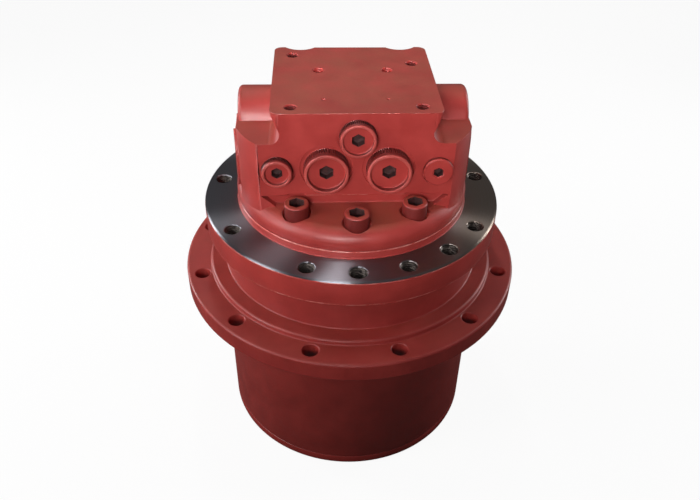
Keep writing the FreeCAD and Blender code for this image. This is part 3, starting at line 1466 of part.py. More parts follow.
# Counterbalance spool with its springs, the plugs that close its bore, and the relief valves.
def build_side_valves():
    half = s.spool_length * 0.5
    radius = s.spool_radius - s.running_clearance
    waist = s.spool_waist_radius
    groove_start = s.spool_groove_start
    groove_end = s.spool_groove_end
    spring_length = s.spool_plug_face - s.spool_plug_length - half - s.spool_travel - 1.0
    at = (0, s.side_axis_back, s.spool_axis_height)
    spool = new_body("counterbalance_spool")
    turn(spool, "spool_form", [
        (-half, 0.0),
        (half, 0.0),
        (half, radius),
        (groove_end, radius),
        (groove_end, waist),
        (groove_start, waist),
        (groove_start, radius),
        (-groove_start, radius),
        (-groove_start, waist),
        (-groove_end, waist),
        (-groove_end, radius),
        (-half, radius),
    ], plane="XY_Plane", axis="H_Axis", at=at)
    springs = new_body("counterbalance_springs")
    plugs = new_body("spool_end_plugs")
    reliefs = new_body("relief_valves")
    plug_length = s.spool_plug_length
    relief_length = s.relief_plug_length - 0.5
    for index, side in enumerate((-1, 1)):
        extrude(springs, "spool_spring_%d" % index, "YZ_Plane", (0, 0, side * half), spring_length,
                circles=[(s.side_axis_back, s.spool_axis_height, s.spool_spring_radius)], back=side < 0)
        face = side * s.spool_plug_face
        extrude(plugs, "spool_plug_%d" % index, "YZ_Plane", (0, 0, face), plug_length,
                circles=[(s.side_axis_back, s.spool_axis_height,
                          s.spool_plug_radius - s.seat_clearance)], back=side > 0)
        extrude(plugs, "spool_plug_socket_%d" % index, "YZ_Plane", (0, 0, face), s.plug_socket_depth,
                outlines=[hexagon(s.side_plug_socket, s.side_axis_back, s.spool_axis_height)],
                cut=True, back=side < 0)
        face = side * (s.block_half_width - 0.5)
        extrude(reliefs, "relief_%d" % index, "YZ_Plane", (0, 0, face), relief_length,
                circles=[(s.side_axis_back, s.relief_axis_height,
                          s.relief_plug_radius - s.seat_clearance)], back=side > 0)
        extrude(reliefs, "relief_socket_%d" % index, "YZ_Plane", (0, 0, face), s.plug_socket_depth,
                outlines=[hexagon(s.side_plug_socket, s.side_axis_back, s.relief_axis_height)],
                cut=True, back=side < 0)


build_motor_case()
build_face_seal()
build_main_bearings()
build_hub()
build_ring_gear()
build_end_cover()
build_fixed_carrier()
build_first_carrier()
build_planets()
build_suns()
build_shaft()
build_rotating_group()
build_swash_plate()
build_brake()
build_valve_block()
build_front_plugs()
build_block_screws()
build_side_valves()
doc.recompute()

problems = []
for thing in doc.Objects:
    if "Invalid" in thing.State or "Error" in thing.State:
        problems.append("%s: %s" % (thing.Name, thing.State))
for part in sub_parts:
    if part.Shape.isNull() or not part.Shape.isValid():
        problems.append("%s: no valid shape" % part.Label)
if problems:
    raise RuntimeError("; ".join(problems))

os.makedirs("parts", exist_ok=True)
for part in sub_parts:
    part.Shape.exportStep("parts/%s.step" % part.Label)
    print(part.Label, len(part.Shape.Solids), round(part.Shape.Volume))
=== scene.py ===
import json
import math

import bmesh
import bpy
from mathutils import Matrix, Vector


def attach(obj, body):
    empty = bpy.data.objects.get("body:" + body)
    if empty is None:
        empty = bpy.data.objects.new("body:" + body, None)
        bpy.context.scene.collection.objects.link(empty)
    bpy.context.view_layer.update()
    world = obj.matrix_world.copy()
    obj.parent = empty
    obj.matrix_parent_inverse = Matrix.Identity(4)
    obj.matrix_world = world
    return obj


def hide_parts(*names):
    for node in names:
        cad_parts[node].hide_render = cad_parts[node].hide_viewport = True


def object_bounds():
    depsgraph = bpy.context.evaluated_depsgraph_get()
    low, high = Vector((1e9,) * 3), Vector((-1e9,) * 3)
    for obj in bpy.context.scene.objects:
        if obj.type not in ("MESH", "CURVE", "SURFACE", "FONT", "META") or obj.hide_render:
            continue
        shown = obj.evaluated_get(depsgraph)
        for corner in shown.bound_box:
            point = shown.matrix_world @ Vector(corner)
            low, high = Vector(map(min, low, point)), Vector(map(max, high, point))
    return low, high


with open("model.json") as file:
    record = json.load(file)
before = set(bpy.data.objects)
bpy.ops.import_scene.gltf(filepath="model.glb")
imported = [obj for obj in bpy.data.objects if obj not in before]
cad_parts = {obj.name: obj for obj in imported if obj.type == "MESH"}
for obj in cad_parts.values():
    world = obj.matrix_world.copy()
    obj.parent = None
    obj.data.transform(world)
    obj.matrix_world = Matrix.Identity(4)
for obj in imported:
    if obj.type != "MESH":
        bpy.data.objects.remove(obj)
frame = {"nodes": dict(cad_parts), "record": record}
cad_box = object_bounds()

# Camera: a little above the drive and to the left of its front, as in the photograph.
# Its place and its turn come from the ellipses of both flanges.
CAMERA_PLACE = Vector((-0.02841, -0.48815, 0.31728))
CAMERA_AIM = Vector((0.0459, 0.7891, -0.6126)).normalized()
CAMERA_LENS = 37.10
CAMERA_ROLL = math.radians(1.21)

camera_data = bpy.data.cameras.new("camera")
camera_data.lens = CAMERA_LENS
camera_data.sensor_width = 36.0
camera = bpy.data.objects.new("camera", camera_data)
bpy.context.scene.collection.objects.link(camera)
level_right = CAMERA_AIM.cross(Vector((0, 0, 1))).normalized()
level_up = level_right.cross(CAMERA_AIM)
camera_right = level_right * math.cos(CAMERA_ROLL) + level_up * math.sin(CAMERA_ROLL)
camera_up = level_up * math.cos(CAMERA_ROLL) - level_right * math.sin(CAMERA_ROLL)
turn = Matrix((camera_right, camera_up, -CAMERA_AIM)).transposed()
camera.matrix_world = Matrix.Translation(CAMERA_PLACE) @ turn.to_4x4()
bpy.context.scene.camera = camera
bpy.context.scene.view_settings.view_transform = "Standard"


class Field:
    """A number or colour on its way through a material. Arithmetic on it adds Math nodes."""

    def __init__(self, finish, socket):
        self.finish = finish
        self.socket = socket

    def math(self, operation, *values):
        places = dict(enumerate(values))
        return self.finish.add("ShaderNodeMath", "Value", places, operation=operation)

    def __add__(self, other):
        return self.math("ADD", self, other)

    def __sub__(self, other):
        return self.math("SUBTRACT", self, other)

    def __mul__(self, other):
        return self.math("MULTIPLY", self, other)

    def __lt__(self, other):
        return self.math("LESS_THAN", self, other)


class Finish:
    """A material, or the surround, that is being made. Its add method makes every node."""

    def __init__(self, name, store=bpy.data.materials):
        self.owner = store.new(name)
        self.owner.use_nodes = True
        self.tree = self.owner.node_tree
        self.tree.nodes.clear()

    def add(self, kind, output, sockets, **settings):
        """A node with its settings and sockets, as the field of its named output if it has one."""
        node = self.tree.nodes.new(kind)
        for name, value in settings.items():
            setattr(node, name, value)
        for name, value in sockets.items():
            if isinstance(value, Field):
                self.tree.links.new(value.socket, node.inputs[name])
            else:
                node.inputs[name].default_value = value
        return Field(self, node.outputs[output]) if output else node

    def place(self):
        return self.add("ShaderNodeTexCoord", "Object", {})

    def split(self, vector):
        return [self.add("ShaderNodeSeparateXYZ", axis, {"Vector": vector}) for axis in "XYZ"]

    def noise(self, scale, detail=3.0, roughness=0.55, vector=None):
        """Even clouds of values around a half."""
        return self.add("ShaderNodeTexNoise", "Fac", {
            "Vector": vector or self.place(),
            "Scale": scale,
            "Detail": detail,
            "Roughness": roughness,
        })

    def root(self, value):
        return value.math("SQRT", value)

    def stripes(self, value, scale):
        """Uneven lines of equal value, as a cutting edge leaves them."""
        sockets = {"W": value, "Scale": scale, "Detail": 2.0}
        return self.add("ShaderNodeTexNoise", "Fac", sockets, noise_dimensions="1D")

    def ramp(self, value, low, high, start=0.0, stop=1.0):
        """A value taken from low..high to start..stop, held at both ends."""
        return self.add("ShaderNodeMapRange", "Result", {
            "Value": value,
            "From Min": low,
            "From Max": high,
            "To Min": start,
            "To Max": stop,
        })

    def blend(self, factor, first, second):
        """Colours mixed by a factor."""
        return self.add("ShaderNodeMix", 2, {0: factor, 6: first, 7: second}, data_type="RGBA")

    def bump(self, height, strength, depth):
        sockets = {"Height": height, "Strength": strength, "Distance": depth}
        return self.add("ShaderNodeBump", "Normal", sockets)

    def surface(self, sockets):
        return self.close(self.add("ShaderNodeBsdfPrincipled", "BSDF", sockets))

    def close(self, shader, output="ShaderNodeOutputMaterial"):
        """Ends the tree with its output and gives the finished material or surround."""
        self.add(output, None, {"Surface": shader})
        return self.owner


# Studio: a white floor under the standing drive and a white surround. A long narrow window stands
# high behind the drive, a small one in front of the block, a broad one at the left, and one at each
# side behind the drive lights its rim.
SHADOW_SHARE = 0.07
FLOOR_SIZE = 6.0
FLOOR_GAP = 0.0003
FLOOR_BOUNCE = (0.10, 0.095, 0.09, 1)
FLOOR_WHITE = (0.97, 0.97, 0.97, 1)
WHITE = (1, 1, 1, 1)
AMBIENT = (0.66, 0.65, 0.66, 1)
AMBIENT_STRENGTH = 0.22

floor_mesh = bpy.data.meshes.new("floor")
floor_bm = bmesh.new()
bmesh.ops.create_grid(floor_bm, x_segments=1, y_segments=1, size=FLOOR_SIZE / 2)
bmesh.ops.translate(floor_bm, vec=(0, 0, cad_box[0][2] - FLOOR_GAP), verts=floor_bm.verts)
floor_bm.to_mesh(floor_mesh)
floor_bm.free()
floor = bpy.data.objects.new("floor", floor_mesh)
bpy.context.scene.collection.objects.link(floor)

paper = Finish("studio_floor")
seen = paper.add("ShaderNodeLightPath", "Is Camera Ray", {})
shade = paper.blend(seen, FLOOR_BOUNCE, FLOOR_WHITE)
matte = paper.add("ShaderNodeBsdfDiffuse", "BSDF", {"Color": shade})
glow = paper.add("ShaderNodeEmission", "Emission", {"Color": WHITE, "Strength": 1.0})
mixed = paper.add("ShaderNodeMixShader", "Shader", {0: seen * (1.0 - SHADOW_SHARE), 1: matte, 2: glow})
floor.data.materials.append(paper.close(mixed))

surround = Finish("surround", bpy.data.worlds)
ambient = surround.add("ShaderNodeBackground", "Background", {
    "Color": AMBIENT,
    "Strength": AMBIENT_STRENGTH,
})
white = surround.add("ShaderNodeBackground", "Background", {"Color": WHITE, "Strength": 1.0})
seen = surround.add("ShaderNodeLightPath", "Is Camera Ray", {})
chosen = surround.add("ShaderNodeMixShader", "Shader", {0: seen, 1: ambient, 2: white})
bpy.context.scene.world = surround.close(chosen, "ShaderNodeOutputWorld")

for name, place, aim, size, power, spread in (
    ("overhead_window", (-0.09, 0.50, 1.35), (0.0, 0.0, 0.0), (0.06, 0.9), 3.8, 180.0),
    ("front_window", (-0.20, -0.80, 0.46), (0.0, 0.0, 0.16), (0.35, 0.3), 0.55, 34.0),
    ("left_window", (-1.1, -0.45, 0.55), (0.0, 0.0, 0.0), (0.5, 0.9), 4.2, 120.0),
    ("left_rim_window", (-1.0, 0.50, 0.25), (0.0, 0.0, 0.0), (0.3, 0.7), 3.0, 120.0),
    ("right_rim_window", (1.0, 0.40, 0.25), (0.0, 0.0, 0.0), (0.3, 0.7), 2.4, 120.0),
):
    light = bpy.data.lights.new(name, "AREA")
    light.shape = "RECTANGLE"
    light.size, light.size_y = size
    light.energy = power
    light.spread = math.radians(spread)
    lamp = bpy.data.objects.new(name, light)
    towards = (Vector(aim) - Vector(place)).to_track_quat("-Z", "Y")
    lamp.matrix_world = Matrix.Translation(place) @ towards.to_matrix().to_4x4()
    bpy.context.scene.collection.objects.link(lamp)


# Motor case: a nodular iron casting, turned all over and sprayed red. Its frame flange is faced
# again after painting, so the mounting face and its chamfer are bare grey iron, and its holes are
# tapped last.
FLANGE_THICKNESS = 0.0216
FACE_RIM = 0.1145
FACE_CHAMFER = 0.0011
FACE_SLACK = 0.0002
EDGE_BREAK = 0.0007
FRAME_CIRCLE = 0.105
FRAME_HOLES = [(20.0 + 40.0 * step, 0.006) for step in range(9)] + [(0.0, 0.0065), (40.0, 0.0065)]
THREAD_START = 0.0012
WALL_GAP = 0.00004
RED = (0.36, 0.031, 0.026)
DUST = (0.235, 0.078, 0.038, 1)
# The two reds of the rims: WORN_DARK close to the paint, and a pinkish red that is painted highlight.
WORN_DARK = (0.42, 0.050, 0.042, 1)
WORN_HIGHLIGHT = (0.62, 0.24, 0.21, 1)
BARE, BORE, EDGE = 1, 2, 3

# Faces narrower than a strip are roundings. Faces narrower than a facet that bend a little towards
# a neighbour belong to a turned wall. The bends are in degrees.
STRIP_WIDTH = 0.0015
FACET_WIDTH = 0.0065
SLIGHT_BEND = 0.8
FACET_BEND = 11.0

# Points of a solid closer than WELD are one, and faces flat to FLATNESS degrees are one face. A run
# of edges ends where it turns to less than CORNER degrees, and a long run that stays level is a rim.
WELD = 0.00012
FLATNESS = 0.6
CORNER = 140.0
RIM_LENGTH = 0.03
RIM_RISE = 0.03


def shaded(colour, share):
    """A darker shade of a colour."""
    return tuple(channel * share for channel in colour)


def enamel(name, red, cast=0.0, lathe=0.0, milled=None, dusty=0.45):
    """Red enamel. cast and lathe are how deep the grain or the turning marks under it are, and
    milled is the y of a face with straight milling marks. Dust lies on what faces up."""
    paint = Finish(name)
    place = paint.place()
    x, y, z = paint.split(place)
    broad = paint.noise(9.0, 2.0, 0.5, place)
    cloud = paint.noise(60.0, 4.0, 0.6, place)
    speck = paint.noise(1100.0, 2.0, 0.6, place)
    dark = shaded(red, 0.80) + (1,)
    light = (red[0] * 1.10, red[1] * 1.25, red[2] * 1.25, 1)
    colour = paint.blend(paint.ramp(broad * 0.55 + cloud * 0.45, 0.38, 0.62), dark, light)
    level = paint.split(paint.add("ShaderNodeNewGeometry", "Normal", {}))[2]
    patches = paint.ramp(paint.noise(38.0, 4.0, 0.65, place), 0.36, 0.66, 0.35, 1.0)
    dust = patches * paint.ramp(level, 0.75, 0.98)
    colour = paint.blend(dust * dusty, colour, DUST)
    gloss = paint.ramp(cloud * 0.6 + speck * 0.4, 0.38, 0.62, 0.38, 0.50) + dust * 0.10
    height = paint.noise(520.0, 2.0, 0.5, place) * 0.22
    if cast:
        height = height + paint.noise(240.0, 4.0, 0.6, place) * cast
    if lathe:
        height = height + paint.stripes(paint.root(x * x + y * y) + z, 1500.0) * lathe
    if milled:
        height = height + paint.stripes(z, 1900.0) * (y < milled) * 0.5
    return paint.surface({
        "Base Color": colour,
        "Roughness": gloss,
        "Normal": paint.bump(height, 0.3, 0.0005),
        "Coat Weight": 0.08,
        "Coat Roughness": 0.15,
    })


# Long level outer rims take a lighter, pinkish red in patches: painted highlight along the edges, with
# some wear.
edge_highlight_finish = Finish("worn_edge_highlight")
wear_and_highlight = edge_highlight_finish.ramp(edge_highlight_finish.noise(70.0, 4.0, 0.7), 0.40, 0.62)
worn_edge_highlight = edge_highlight_finish.surface({
    "Base Color": edge_highlight_finish.blend(wear_and_highlight, WORN_DARK, WORN_HIGHLIGHT),
    "Roughness": 0.22,
})


def mesh_from(bm, name, materials, round_angle=50.0):
    """Object of a finished bmesh, smooth but for edges sharper than round_angle and flat faces."""
    for edge in bm.edges:
        open_edge = len(edge.link_faces) != 2
        edge.smooth = open_edge or edge.calc_face_angle(0.0) < math.radians(round_angle)
    for face in bm.faces:
        bends = [math.degrees(edge.calc_face_angle(0.0)) for edge in face.edges]
        length, bend = max((edge.calc_length(), bend) for edge, bend in zip(face.edges, bends))
        width = face.calc_area() / max(0.00001, length)
        rounding_strip = width < STRIP_WIDTH and bend > SLIGHT_BEND
        facet = width < FACET_WIDTH and any(SLIGHT_BEND < bend < FACET_BEND for bend in bends)
        face.smooth = rounding_strip or facet
    mesh = bpy.data.meshes.new(name)
    bm.to_mesh(mesh)
    bm.free()
    for material in materials:
        mesh.materials.append(material)
    obj = bpy.data.objects.new(name, mesh)
    bpy.context.scene.collection.objects.link(obj)
    return obj


def edge_runs(bm, sharp, keep):
    """Runs of sharp edges that follow each other without a corner, the longest first."""
    left = dict.fromkeys(
        edge for edge in bm.edges
        if len(edge.link_faces) == 2 and edge.calc_face_angle(0.0) > math.radians(sharp)
        and not (keep and keep(edge))
    )
    marked = set(left)
    runs = []
    while left:
        run = [left.popitem()[0]]
        for edge in run:
            for vert in edge.verts:
                joined = [other for other in vert.link_edges if other in marked]
                if len(joined) == 2 and joined[0].is_convex == joined[1].is_convex:
                    first, second = (other.other_vert(vert).co - vert.co for other in joined)
                    if first.angle(second) > math.radians(CORNER):
                        followers = [other for other in joined if other in left]
                        run += followers
                        for other in followers:
                            del left[other]
        runs.append(run)
    return sorted(runs, key=lambda run: -sum(edge.calc_length() for edge in run))


def solid_copy(node, width, sharp=28.0, edge_slot=0, keep=None, shortest=0.0, split=False):
    """A copy of a solid with its facets joined and its sharp edges rounded by width, run by run,
    the long outer rims in the material of edge_slot. keep picks edges that stay sharp, as runs up
    to shortest do, and split cuts the large flat faces into triangles first."""
    bm = bmesh.new()
    bm.from_mesh(frame["nodes"][node].data)
    bmesh.ops.remove_doubles(bm, verts=bm.verts, dist=WELD)
    bmesh.ops.dissolve_limit(bm, angle_limit=math.radians(FLATNESS), verts=bm.verts, edges=bm.edges)
    if split:
        bmesh.ops.triangulate(bm, faces=[face for face in bm.faces if len(face.verts) > 4])
    tag = bm.edges.layers.int.new("run")
    slots = []
    for number, run in enumerate(edge_runs(bm, sharp, keep)):
        length = sum(edge.calc_length() for edge in run)
        levels = [vert.co.z for edge in run for vert in edge.verts]
        long_rim = run[0].is_convex and length > RIM_LENGTH and max(levels) - min(levels) < RIM_RISE
        slots.append((edge_slot if long_rim else 0) if length > shortest else None)
        for edge in run:
            edge[tag] = number + 1
    for number, slot in enumerate(slots):
        if slot is None:
            continue
        run = [edge for edge in bm.edges if edge[tag] == number + 1]
        rounded = bmesh.ops.bevel(
            bm, geom=run, offset=width, offset_type="OFFSET", affect="EDGES", segments=2, profile=0.5,
            material=-1, clamp_overlap=True, loop_slide=False)
        for face in rounded["faces"]:
            face.material_index = slot
        for edge in rounded["edges"]:
            edge[tag] = 0
    bmesh.ops.dissolve_degenerate(bm, dist=0.00001, edges=bm.edges)
    return bm


def add_thread(bm, mouth, out, radius, length, pitch, depth):
    """A tapped thread in a bore: a saw-toothed outline spun about the bore's axis."""
    mouth = Vector(mouth)
    out = Vector(out)
    across = out.orthogonal().normalized()
    wall = radius - WALL_GAP
    outline = [(wall, 0.0)]
    for tooth in range(int(length / pitch)):
        outline += [
            (wall, (tooth + 0.2) * pitch),
            (wall - depth, (tooth + 0.5) * pitch),
            (wall, (tooth + 0.8) * pitch),
        ]
    outline.append((wall, length))
    verts = [bm.verts.new(mouth + across * reach - out * level) for reach, level in outline]
    edges = [bm.edges.new(pair) for pair in zip(verts, verts[1:])]
    bmesh.ops.spin(
        bm, geom=verts + edges, cent=mouth, axis=out, angle=2.0 * math.pi, steps=28, use_merge=True)


def flange_point(circle, degrees, level):
    """A point on a bolt circle, its angle measured from the front towards the right."""
    angle = math.radians(degrees - 90.0)
    return Vector((circle * math.cos(angle), circle * math.sin(angle), level))


bare_face = Finish("bare_flange_face")
place = bare_face.place()
x, y, z = bare_face.split(place)
rings = bare_face.stripes(bare_face.root(x * x + y * y), 3600.0)
boundary_wobble = bare_face.noise(26.0, 4.0, 0.65, place)
# The face turns browner towards +x, along a wavy line.
side = bare_face.ramp(x + (boundary_wobble - 0.5) * 0.12, 0.0, 0.09)
tint = bare_face.blend(side * 0.85, (0.215, 0.21, 0.235, 1), (0.255, 0.19, 0.135, 1))
tint = bare_face.blend(bare_face.ramp(rings, 0.35, 0.75, 0.0, 0.3), tint, (0.42, 0.43, 0.46, 1))
patches = bare_face.noise(14.0, 3.0, 0.6, place)
bare_iron = bare_face.surface({
    "Base Color": tint,
    "Metallic": 1.0,
    "Anisotropic": 1.0,
    "Anisotropic Rotation": 0.25,
    "Roughness": bare_face.ramp(patches, 0.3, 0.7, 0.28, 0.34),
    "Normal": bare_face.bump(rings, 0.12, 0.00004),
})
bore = Finish("bare_thread")
grime = bore.noise(300.0, 3.0, 0.6)
oily = bore.blend(bore.ramp(grime, 0.35, 0.65), (0.035, 0.028, 0.026, 1), (0.15, 0.125, 0.11, 1))
thread_iron = bore.surface({
    "Base Color": oily,
    "Metallic": 0.75,
    "Roughness": bore.ramp(grime, 0.3, 0.7, 0.28, 0.5),
})

turned_enamel = enamel("turned_enamel", RED, lathe=0.30, dusty=0.12)
case_bm = solid_copy("motor_case", EDGE_BREAK, edge_slot=EDGE)
frame_holes = [(flange_point(FRAME_CIRCLE, angle, 0.0), radius) for angle, radius in FRAME_HOLES]
for face in case_bm.faces:
    centre = face.calc_center_median()
    flat = Vector((centre.x, centre.y, 0.0))
    if EDGE_BREAK - FLANGE_THICKNESS < centre.z < FACE_SLACK:
        at_hole = any((flat - hole).length < radius + EDGE_BREAK for hole, radius in frame_holes)
        faced = face.normal.z > 0.95 or at_hole or flat.length > FACE_RIM
        if centre.z > -FACE_CHAMFER and faced:
            face.material_index = BARE
        elif at_hole:
            face.material_index = BORE
case = mesh_from(case_bm, "motor_case_look", [turned_enamel, bare_iron, thread_iron, worn_edge_highlight])
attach(case, "frame_side")
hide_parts("motor_case")

thread_bm = bmesh.new()
for hole, radius in frame_holes:
    mouth = hole - Vector((0, 0, THREAD_START))
    add_thread(thread_bm, mouth, (0, 0, 1), radius, FLANGE_THICKNESS - 2 * THREAD_START, 0.002, 0.0007)
threads = mesh_from(thread_bm, "frame_hole_threads", [thread_iron], 20.0)
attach(threads, "frame_side")


# Valve block: a red casting, milled on its front and its deck and left rough elsewhere, bolted
# to the motor case. The paint runs into the deck's tapped holes, and the ports were plugged for it.
FRONT_FACE = 0.054
REAR_FACE = 0.0595
DECK_HEIGHT = 0.095
SPOT_FACE_STEP = 0.0022
SPOT_FACE_REACH = 0.0015
BLOCK_EDGE = 1
DECK_HOLES = [(-0.045, -0.044), (0.045, -0.044), (-0.045, 0.044), (0.045, 0.028)]

# x and z of the middle of each front plug and the radius of its head.
TOP_PLUG = (0.0007, 0.0773, 0.0131)
LEFT_PLUG = (-0.0555, 0.0514, 0.0110)
RIGHT_PLUG = (0.0580, 0.0502, 0.0109)
LARGE_PLUGS = [(-0.0210, 0.0528, 0.0161), (0.0228, 0.0528, 0.0161)]
SPOT_FACES = [TOP_PLUG, LEFT_PLUG, RIGHT_PLUG] + LARGE_PLUGS

# x and z of each rear port, its radius and its depth.
PORTS = [
    (-0.024, 0.052, 0.0095, 0.018),
    (0.024, 0.052, 0.0095, 0.018),
    (0.0, 0.078, 0.0075, 0.014),
    (0.0195, 0.078, 0.0058, 0.014),
]

block_enamel = enamel("block_enamel", RED, cast=0.35, milled=0.0004 - FRONT_FACE)


def at_spot_face(edge):
    """The steps of the spot faces, which stand closer together than two roundings."""
    return any(
        abs(vert.co.y + FRONT_FACE) < SPOT_FACE_REACH
        and math.hypot(vert.co.x - x, vert.co.z - z) < radius + SPOT_FACE_STEP
        for vert in edge.verts for x, z, radius in SPOT_FACES
    )


block_bm = solid_copy(
    "valve_block", EDGE_BREAK, sharp=20.0, edge_slot=BLOCK_EDGE, keep=at_spot_face, shortest=0.006)
block = mesh_from(block_bm, "valve_block_look", [block_enamel, worn_edge_highlight])
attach(block, "frame_side")
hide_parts("valve_block")

# The threads of the deck's tapped holes are in the block's red at 0.35 of its brightness: painted shade
# inside the holes.
deck_hole_shade = enamel("painted_shade_in_deck_holes", shaded(RED, 0.35), dusty=0.0)
deck_bm = bmesh.new()
for x, y in DECK_HOLES:
    add_thread(deck_bm, (x, y, DECK_HEIGHT - THREAD_START), (0, 0, 1), 0.00425, 0.0165, 0.0015, 0.0005)
port_bm = bmesh.new()
for x, z, radius, depth in PORTS:
    mouth = (x, REAR_FACE - THREAD_START, z)
    add_thread(port_bm, mouth, (0, 1, 0), radius, depth - 0.002, 0.0018, 0.0007)
for name, tapped_bm, lining in (
    ("deck_threads", deck_bm, deck_hole_shade),
    ("port_threads", port_bm, thread_iron),
):
    tapped = mesh_from(tapped_bm, name, [lining], 20.0)
    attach(tapped, "frame_side")


# Plugs and screws: turned or forged steel, sprayed red with the block after assembly. The top and
# the left plug and the two large ones have serrated rims for gripping, the right one is plain.
STEPS = 240
TOOTH_DEPTH = 0.0008
SEAT = 0.0008
SHANK_LENGTH = 0.013
CUPPED = 0.001
ALL_BELOW = 1.0
FACE, SHADE, WALL, RIM = range(4)
plug_enamel = enamel("plug_enamel", RED)
# The rims of the cups are in a lighter, pinkish red: painted highlight.
rim_painted_highlight = enamel("plug_rim_enamel", (RED[0] * 1.15, RED[1] * 1.9, RED[2] * 1.9), dusty=0.0)
# Steep walls of the plugs and screws, and the gaps between the teeth of the large plugs, are in the red
# at 0.42 of its brightness: painted shade.
wall_painted_shade = enamel("plug_wall_enamel", shaded(RED, 0.42), dusty=0.0)
# Hexagon sockets, and the gaps between the teeth of the small plugs' rims, are near black in blotches:
# painted shade.
socket = Finish("socket_shade")
grime = socket.ramp(socket.noise(500.0), 0.35, 0.65)
socket_painted_shade = socket.surface({
    "Base Color": socket.blend(grime, (0.018, 0.004, 0.004, 1), (0.055, 0.009, 0.008, 1)),
    "Roughness": 0.75,
})
PLUG_FINISHES = [plug_enamel, socket_painted_shade, wall_painted_shade, rim_painted_highlight]


def add_turned(bm, rings, foot, out, crest=ALL_BELOW, gap_slot=SHADE):
    """A turned piece from its rings, each a radius, a height over its foot and a shape. A hexagon's
    radius is half its width across flats, and teeth cut a serrated rim. What lies over crest is rim,
    in the finish of RIM, a painted highlight. Steep walls take WALL, painted shade, the hexagon and the
    floor of the socket take SHADE, painted shade, and gap_slot is the painted shade between the teeth."""
    foot = Vector(foot)
    out = Vector(out)
    right = Vector((0, 1, 0)) if abs(out.x) > 0.5 else Vector((1, 0, 0))
    up = out.cross(right)
    circles = []
    for radius, height, shape in rings:
        circle = []
        for step in range(STEPS):
            angle = 2.0 * math.pi * step / STEPS
            reach = radius
            if shape == "hexagon":
                reach = radius / math.cos((angle + math.pi / 6) % (math.pi / 3) - math.pi / 6)
            elif shape == "teeth" and step % 4 > 1:
                reach = radius - TOOTH_DEPTH
            spoke = right * (reach * math.cos(angle)) + up * (reach * math.sin(angle))
            circle.append(bm.verts.new(foot + out * height + spoke))
        circles.append(circle)
    faces = []
    for lower, upper, (inner, low, shape), (outer, high, next_shape) in zip(
        circles, circles[1:], rings, rings[1:]
    ):
        finish = FACE
        if shape == "hexagon":
            finish = SHADE
        elif min(low, high) > crest:
            finish = RIM
        elif abs(low - high) > 3.0 * abs(inner - outer):
            finish = WALL
        for step in range(STEPS):
            beyond = (step + 1) % STEPS
            face = bm.faces.new((lower[step], lower[beyond], upper[beyond], upper[step]))
            gap = shape == "teeth" == next_shape and step % 4 > 0
            face.material_index = gap_slot if gap else finish
            faces.append(face)
    faces.append(bm.faces.new(circles[0]))
    faces.append(bm.faces.new(circles[-1]))
    faces[-1].material_index = SHADE
    bmesh.ops.recalc_face_normals(bm, faces=faces)


def rounding(radius, height, size):
    """Rings of a rounded outer edge, from the side to the face."""
    turns = [math.radians(turned) for turned in (0, 22.5, 45, 67.5, 90)]
    return [
        (radius - size + size * math.cos(turn), height - size + size * math.sin(turn), "")
        for turn in turns
    ]


def socket_rings(flats, floor, depth):
    """Rings of a hexagon socket with a narrow chamfer at its mouth."""
    return [
        (flats * 1.155 + 0.0012, floor, ""),
        (flats + 0.0003, floor, "hexagon"),
        (flats, floor - 0.0004, "hexagon"),
        (flats, floor - depth, "hexagon"),
        (flats * 0.5, floor - depth - 0.0006, ""),
    ]


def plug_rings(head, height, cup, cup_depth, flats, shank, serrated):
    """Rings of a plug from the end of its shank to the floor of its hexagon socket."""
    floor = height - cup_depth
    band = height * 0.60
    rings = [
        (shank - 0.0006, -SHANK_LENGTH, ""),
        (shank, 0.0006 - SHANK_LENGTH, ""),
        (shank, 0.0, ""),
        (head - 0.0004, 0.0, ""),
    ]
    if serrated:
        rings += [
            (head - 0.0001, 0.0003, "teeth"),
            (head - 0.0001, band, "teeth"),
            (head - 0.0003, band + 0.0003, ""),
        ]
        rings += rounding(head - 0.0003, height, 0.0013)
    else:
        rings += rounding(head, height, 0.0013)
    if cup_depth > CUPPED:
        rings += [
            (cup + 0.0003, height, ""),
            (cup, height - 0.0003, ""),
            (cup - 0.0001, floor + 0.0004, ""),
            (cup - 0.0005, floor, ""),
            (cup - 0.0012, floor, ""),
        ]
    else:
        rings += [(cup, height, ""), (cup - 0.0004, floor, "")]
    return rings + socket_rings(flats, floor, 0.0050)


# Each plug's height over the front, the radius and depth of its cup, half the width of its socket,
# the radius of its shank and the finish between the teeth of its rim, a painted shade.
for name, node, places, proud, cup, cup_depth, flats, shank, gap_slot in (
    ("top_plug", "top_front_plug", [TOP_PLUG], 0.0074, 0.0105, 0.0026, 0.0040, 0.009, SHADE),
    ("left_plug", "left_front_plug", [LEFT_PLUG], 0.0064, 0.0085, 0.0027, 0.0035, 0.008, SHADE),
    ("right_plug", "right_front_plug", [RIGHT_PLUG], 0.0030, 0.0044, 0.0004, 0.0030, 0.008, None),
    ("large_plugs", "large_front_plugs", LARGE_PLUGS, 0.0095, 0.0133, 0.0040, 0.0045, 0.0135, WALL),
):
    bm = bmesh.new()
    height = proud + SEAT
    crest = height - 0.0005 if cup_depth > CUPPED else ALL_BELOW
    for x, z, head in places:
        rings = plug_rings(head, height, cup, cup_depth, flats, shank, gap_slot is not None)
        add_turned(bm, rings, (x, SEAT - FRONT_FACE, z), (0, -1, 0), crest, gap_slot)
    plug = mesh_from(bm, name, PLUG_FINISHES, 35.0)
    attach(plug, "frame_side")
    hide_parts(node)


